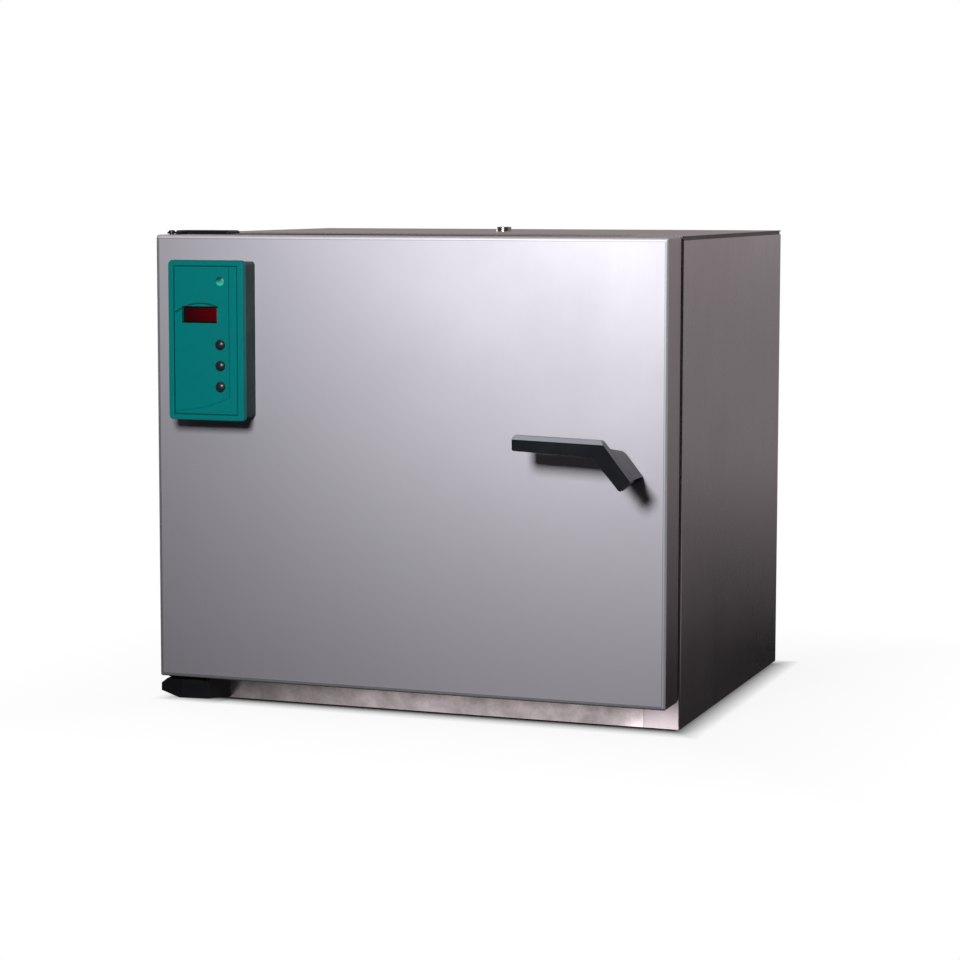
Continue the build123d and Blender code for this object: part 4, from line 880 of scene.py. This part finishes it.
# %% Three buttons
button_radius = 0.006
button_wall = 0.0035
collar_thickness = 0.0015
stem_radius = 0.003
button_rise = 0.0022
low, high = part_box("button_1")
collar_radius = (high.x - low.x) / 2
button_length = high.y - low.y
shoulder = button_length - button_rise
collar_top = shoulder - button_wall
button_profile = [
    (stem_radius, 0.0),
    (stem_radius, collar_top - collar_thickness),
    (collar_radius, collar_top - collar_thickness),
    (collar_radius, collar_top),
    (button_radius, collar_top),
]
button_profile += [(radius, shoulder + height) for radius, height in dome(button_radius, button_rise)]
button_shape = turned("button_shape", button_profile)
for number in (1, 2, 3):
    node = f"button_{number}"
    low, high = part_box(node)
    centre = ((low.x + high.x) / 2, high.y, (low.z + high.z) / 2)
    cap = put(button_shape, f"button_cap_{number}", centre)
    cap.data.materials.append(button_gloss)
    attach(cap, node)
    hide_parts(node)
bpy.data.objects.remove(button_shape)
print("three buttons,", round(button_length * 1000, 1), "mm long")

# %% Lamp lens
low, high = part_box("indicator_lens")
lens_radius = 0.0055
lens_rise = 0.0014
lens_collar = (high.x - low.x) / 2
collar_height = 0.0013
lens_length = high.y - low.y
lens_shoulder = lens_length - lens_rise
lens_profile = [(lens_collar, 0.0), (lens_collar, collar_height), (lens_radius, collar_height)]
lens_profile += [(radius, lens_shoulder + height) for radius, height in dome(lens_radius, lens_rise)]
lens_shape = turned("lens_shape", lens_profile)
lens = put(lens_shape, "lamp_lens", ((low.x + high.x) / 2, high.y, (low.z + high.z) / 2))
lens.data.materials.append(lamp_green)
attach(lens, "door")
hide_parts("indicator_lens")
bpy.data.objects.remove(lens_shape)
print("the lens is", round(lens_length * 1000, 1), "mm deep")

# %% [markdown]
# ## Screws
# The construction has plain screw heads. A real pan head is rounded and has a cross recess, which
# is what the eye takes for a screw. A dark cross painted on would do from afar, but a cut one
# catches the light. So one screw of each kind is turned and cut, and copies of it take the places
# of the plain ones, each turned a little differently, as a hand leaves them.

# %% A cross recess screw
def screw(name, head_radius, head_height, shank_radius, shank_length, sink=0.0):
    """A screw about +Z with its seat at height 0: a pan head, or a sunk one flush with the seat."""
    profile = [(shank_radius, -shank_length), (shank_radius, -sink), (head_radius, 0.0)]
    if head_height:
        brim = head_height * 0.45
        rounded = dome(head_radius, head_height - brim, rings=5)
        profile += [(radius, brim + height) for radius, height in rounded]
    piece = turned(name, profile, segments=32)
    recess_length = head_radius * 1.1
    recess_width = head_radius * 0.22
    recess_height = head_radius * 0.55
    for across, along in ((recess_width, recess_length), (recess_length, recess_width)):
        bpy.ops.object.select_all(action="DESELECT")
        bpy.ops.mesh.primitive_cube_add(size=1.0, location=(0, 0, head_height))
        cutter = bpy.context.object
        cutter.scale = (across, along, recess_height)
        bpy.ops.object.transform_apply(location=True, rotation=True, scale=True)
        cut = piece.modifiers.new("recess", "BOOLEAN")
        cut.object = cutter
        cut.operation = "DIFFERENCE"
        bpy.ops.object.select_all(action="DESELECT")
        bpy.context.view_layer.objects.active = piece
        piece.select_set(True)
        bpy.ops.object.modifier_apply(modifier=cut.name)
        bpy.data.objects.remove(cutter)
    return piece


print("made the helper", screw.__name__)


# %% Finding the plain screws and taking their places
def solids_of(node, longest=0.016):
    """The lowest and highest corners of a node's separate solids, each smaller than longest."""
    found = []
    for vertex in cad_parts[node].data.vertices:
        for low, high in found:
            if (vertex.co - (low + high) / 2).length < longest:
                low[:] = [min(pair) for pair in zip(low, vertex.co)]
                high[:] = [max(pair) for pair in zip(high, vertex.co)]
                break
        else:
            found.append((vertex.co.copy(), vertex.co.copy()))
    return found


hand_turn = math.radians(37)


def fit_screws(shape, boxes, head_height, facing):
    """Copies of a screw in the places of plain ones, seated where those are."""
    pieces = []
    for number, (low, high) in enumerate(boxes, start=1):
        seat = (low + high) / 2
        if facing == "rear":
            seat.y = high.y - head_height
        elif facing == "front":
            seat.y = low.y + head_height
        else:
            seat.z = high.z - head_height
        piece = put(shape, f"{shape.name}_{number}", seat, facing, number * hand_turn)
        piece.data.materials.append(zinc)
        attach(piece, "cabinet")
        pieces.append(piece)
    bpy.data.objects.remove(shape)
    return pieces


print("each screw is turned", round(math.degrees(hand_turn)), "degrees further than the last")

# %% Rear panel screws
panel_head_height = 0.002
panel_screw = screw(
    "rear_panel_screw",
    head_radius=0.004,
    head_height=panel_head_height,
    shank_radius=0.0019,
    shank_length=0.0012,
)
panel_screws = fit_screws(panel_screw, solids_of("rear_panel_screws"), panel_head_height, "rear")
for piece in panel_screws:
    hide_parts("rear_panel_screws")
print(len(panel_screws), "rear panel screws")

# %% Keeper screws
keeper_head_height = 0.0015
keeper_screw = screw(
    "keeper_screw",
    head_radius=0.0034,
    head_height=keeper_head_height,
    shank_radius=0.0019,
    shank_length=0.0067,
)
keeper_screws = fit_screws(keeper_screw, solids_of("keeper_screws"), keeper_head_height, "front")
for piece in keeper_screws:
    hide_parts("keeper_screws")
print(len(keeper_screws), "keeper screws")

# %% Hinge screws: two sunk into the upper bracket, two from inside the casing below
hinge_head_radius = 0.0045
hinge_head_height = 0.0016
hinge_shank_radius = 0.0024
hinge_shank_length = 0.011
mid_height = (cad_box[0].z + cad_box[1].z) / 2
hinge_boxes = solids_of("hinge_screws")
upper_boxes = [(low, high) for low, high in hinge_boxes if low.z > mid_height]
lower_boxes = [(low, high) for low, high in hinge_boxes if low.z < mid_height]
sunk_screw = screw(
    "upper_hinge_screw", hinge_head_radius, 0.0, hinge_shank_radius, hinge_shank_length, sink=0.002
)
pan_screw = screw(
    "lower_hinge_screw", hinge_head_radius, hinge_head_height, hinge_shank_radius, hinge_shank_length
)
hinge_screws = fit_screws(sunk_screw, upper_boxes, 0.0, "up")
hinge_screws += fit_screws(pan_screw, lower_boxes, hinge_head_height, "rear")
for piece in hinge_screws:
    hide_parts("hinge_screws")
print(len(hinge_screws), "hinge screws")

# %% [markdown]
# ## The studio
# The front of the oven is a blurred mirror, so its shading is a picture of the room: bright at the
# top right, where the blur gathers one small soft lamp, and dark at the bottom left, where it runs
# away from the lamp into a dark room. A big lamp could light it evenly, but then the steel would
# look like grey paint, so the lamp is small, near, and above the handle. A second lamp behind
# keeps the rear readable. The camera sees a white background, and mirrors see a room of their own:
# dark in front, and plain beside, behind and above the oven. A strip of floor at its foot shines
# at a low angle, as a polished table does, and brightens the front rail.

# %% Key lamp and back lamp
def soft_lamp(name, place, target, side, power):
    """A square soft box at a place, turned to a target."""
    data = bpy.data.lights.new(name, "AREA")
    data.shape = "SQUARE"
    data.size = side
    data.energy = power
    lamp = bpy.data.objects.new(name, data)
    lamp.location = place
    lamp.rotation_euler = (Vector(target) - Vector(place)).to_track_quat("-Z", "Y").to_euler()
    bpy.context.scene.collection.objects.link(lamp)
    return lamp


key_lamp = soft_lamp("key_lamp", (0.054, -1.42, 0.84), door_centre, side=0.28, power=14.0)
back_lamp = soft_lamp("back_lamp", (-2.4, 1.5, 1.2), (0.0, 0.0, 0.3), side=1.0, power=40.0)
print("the key lamp is", round((key_lamp.location - door_centre).length, 2), "m from the door")
print("the back lamp is", round(back_lamp.location.length, 2), "m away")

# %% Room
white = (1.0, 1.0, 1.0)
room_tint = (1.0, 0.93, 0.945)
dark_level = 0.02
plain_level = 0.4
ambient_level = 0.06


def seen_directly(tree):
    """1 for rays from the camera, also through glass, and 0 for mirrored and scattered ones."""
    ray = tree.nodes.new("ShaderNodeLightPath")
    return combine(tree, "MAXIMUM", ray.outputs["Is Camera Ray"], ray.outputs["Is Transmission Ray"])


def room_in_mirrors(tree):
    """How bright a mirrored direction is: dark to the front, plain to all other sides."""
    toward = split(tree, "Generated")
    behind = spread(tree, toward["Y"], low=-0.2, high=0.7, to_low=dark_level, to_high=plain_level)
    right = spread(tree, toward["X"], low=0.5, high=0.8, to_high=plain_level)
    left = spread(tree, toward["X"], low=-0.8, high=-1.0, to_high=plain_level)
    above = spread(tree, toward["Z"], low=0.6, high=0.9, to_high=plain_level)
    not_front = spread(tree, toward["Y"], low=-0.35, high=-0.05)
    beside = combine(tree, "MULTIPLY", combine(tree, "MAXIMUM", left, right), not_front)
    return combine(tree, "MAXIMUM", behind, beside, above)


def room():
    """A world that is white where it is seen, faint as light, and a dim room in mirrors."""
    world = bpy.data.worlds.new("room")
    world.use_nodes = True
    tree = world.node_tree
    background = tree.nodes["Background"]
    ray = tree.nodes.new("ShaderNodeLightPath")
    in_mirrors = combine(tree, "MULTIPLY", ray.outputs["Is Glossy Ray"], room_in_mirrors(tree))
    as_light = math_node(tree, "MULTIPLY", ray.outputs["Is Diffuse Ray"], ambient_level)
    seen = seen_directly(tree)
    level = combine(tree, "MAXIMUM", math_node(tree, "ADD", in_mirrors, as_light), seen)
    tree.links.new(level, background.inputs["Strength"])
    tree.links.new(mix_colour(tree, seen, room_tint, white), background.inputs["Color"])
    return world


bpy.context.scene.world = room()
print("mirrors see", dark_level, "in front of the oven and", plain_level, "behind it")


# %% Floor as the camera sees it
def paper(tree):
    """Pale paper whose shade the camera sees only close to the oven; further out it is white."""
    shader = tree.nodes["Principled BSDF"]
    shader.inputs["Base Color"].default_value = (0.8, 0.8, 0.8, 1.0)
    shader.inputs["Roughness"].default_value = 0.9
    shader.inputs["Specular IOR Level"].default_value = 0.0
    plain_white = tree.nodes.new("ShaderNodeEmission")
    outside = beyond_edges(tree, "XY", *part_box("base_pan"))
    near = spread(tree, outside, low=-0.01, high=0.03, to_high=0.92)
    far = spread(tree, outside, low=0.03, high=0.3, to_high=0.08)
    share = math_node(tree, "ADD", near, far)
    blend = tree.nodes.new("ShaderNodeMixShader")
    tree.links.new(combine(tree, "MULTIPLY", share, seen_directly(tree)), blend.inputs["Fac"])
    tree.links.new(shader.outputs["BSDF"], blend.inputs[1])
    tree.links.new(plain_white.outputs["Emission"], blend.inputs[2])
    return blend.outputs["Shader"]


print("made the helper", paper.__name__)


# %% Floor as mirrors see it
def floor_in_mirrors(tree):
    """How bright a mirrored spot of the floor is: dark to the front, plain beside and behind."""
    place = split(tree, "Object")
    low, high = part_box("base_pan")
    behind = spread(tree, place["Y"], low=0.4, high=3.0, to_low=dark_level, to_high=0.26)
    left = spread(tree, place["X"], low=high.x, high=low.x, to_high=plain_level)
    past_front = spread(tree, place["Y"], low=low.y, high=low.y + 0.1)
    right = spread(tree, place["X"], low=0.5, high=1.1, to_high=plain_level)
    not_far_back = spread(tree, place["Y"], low=1.2, high=0.6)
    not_far_front = spread(tree, place["Y"], low=-0.6, high=-0.2)
    left = combine(tree, "MULTIPLY", left, past_front)
    right = combine(tree, "MULTIPLY", right, not_far_back, not_far_front)
    return combine(tree, "MAXIMUM", behind, left, right)


def shining_strip(tree):
    """The strip at the oven's foot, brighter to the right, that only a low ray sees."""
    place = split(tree, "Object")
    low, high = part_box("base_pan")
    casing_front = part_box("lower_front_rail")[0].y
    front_reach = -0.336
    under_rail = spread(tree, place["Y"], low=casing_front + 0.01, high=casing_front)
    past_reach = spread(tree, place["Y"], low=front_reach, high=front_reach + 0.02)
    before_rail = spread(tree, place["X"], low=low.x, high=0.0, to_low=0.15, to_high=0.85)
    before_corner = spread(tree, place["X"], low=high.x - 0.08, high=high.x - 0.055, to_high=1.5)
    brightness = math_node(tree, "ADD", before_rail, before_corner)
    not_past_end = spread(tree, place["X"], low=high.x + 0.01, high=high.x)
    slant = tree.nodes.new("ShaderNodeLayerWeight").outputs["Facing"]
    low_ray = spread(tree, slant, low=0.5, high=0.75)
    return combine(tree, "MULTIPLY", under_rail, past_reach, brightness, not_past_end, low_ray)


print("made the helpers", floor_in_mirrors.__name__, shining_strip.__name__)


# %% Floor
def floor_finish():
    """Paper to the camera and to the lamps, a dim room's floor to mirrors."""
    material = bpy.data.materials.new("floor")
    material.use_nodes = True
    tree = material.node_tree
    dim = tree.nodes.new("ShaderNodeEmission")
    dim.inputs["Color"].default_value = (*room_tint, 1.0)
    level = combine(tree, "MAXIMUM", floor_in_mirrors(tree), shining_strip(tree))
    tree.links.new(level, dim.inputs["Strength"])
    ray = tree.nodes.new("ShaderNodeLightPath")
    choice = tree.nodes.new("ShaderNodeMixShader")
    tree.links.new(ray.outputs["Is Glossy Ray"], choice.inputs["Fac"])
    tree.links.new(paper(tree), choice.inputs[1])
    tree.links.new(dim.outputs["Emission"], choice.inputs[2])
    tree.links.new(choice.outputs["Shader"], tree.nodes["Material Output"].inputs["Surface"])
    return material


floor_width = 40.0
bpy.ops.object.select_all(action="DESELECT")
bpy.ops.mesh.primitive_plane_add(size=floor_width, location=(0, 0, 0))
floor = bpy.context.object
floor.name = "floor"
floor.data.materials.append(floor_finish())
print("the floor is", floor.dimensions.x, "m wide")

# %% [markdown]
# ## Size
# The construction decides how big the oven is, and its dressing has to stay inside. So the
# construction's box is measured and printed.

# %% Sizes
def plain(box):
    """A box's corners as lists, which JSON can hold."""
    return [list(corner) for corner in box]


print("CAD box", plain(cad_box))
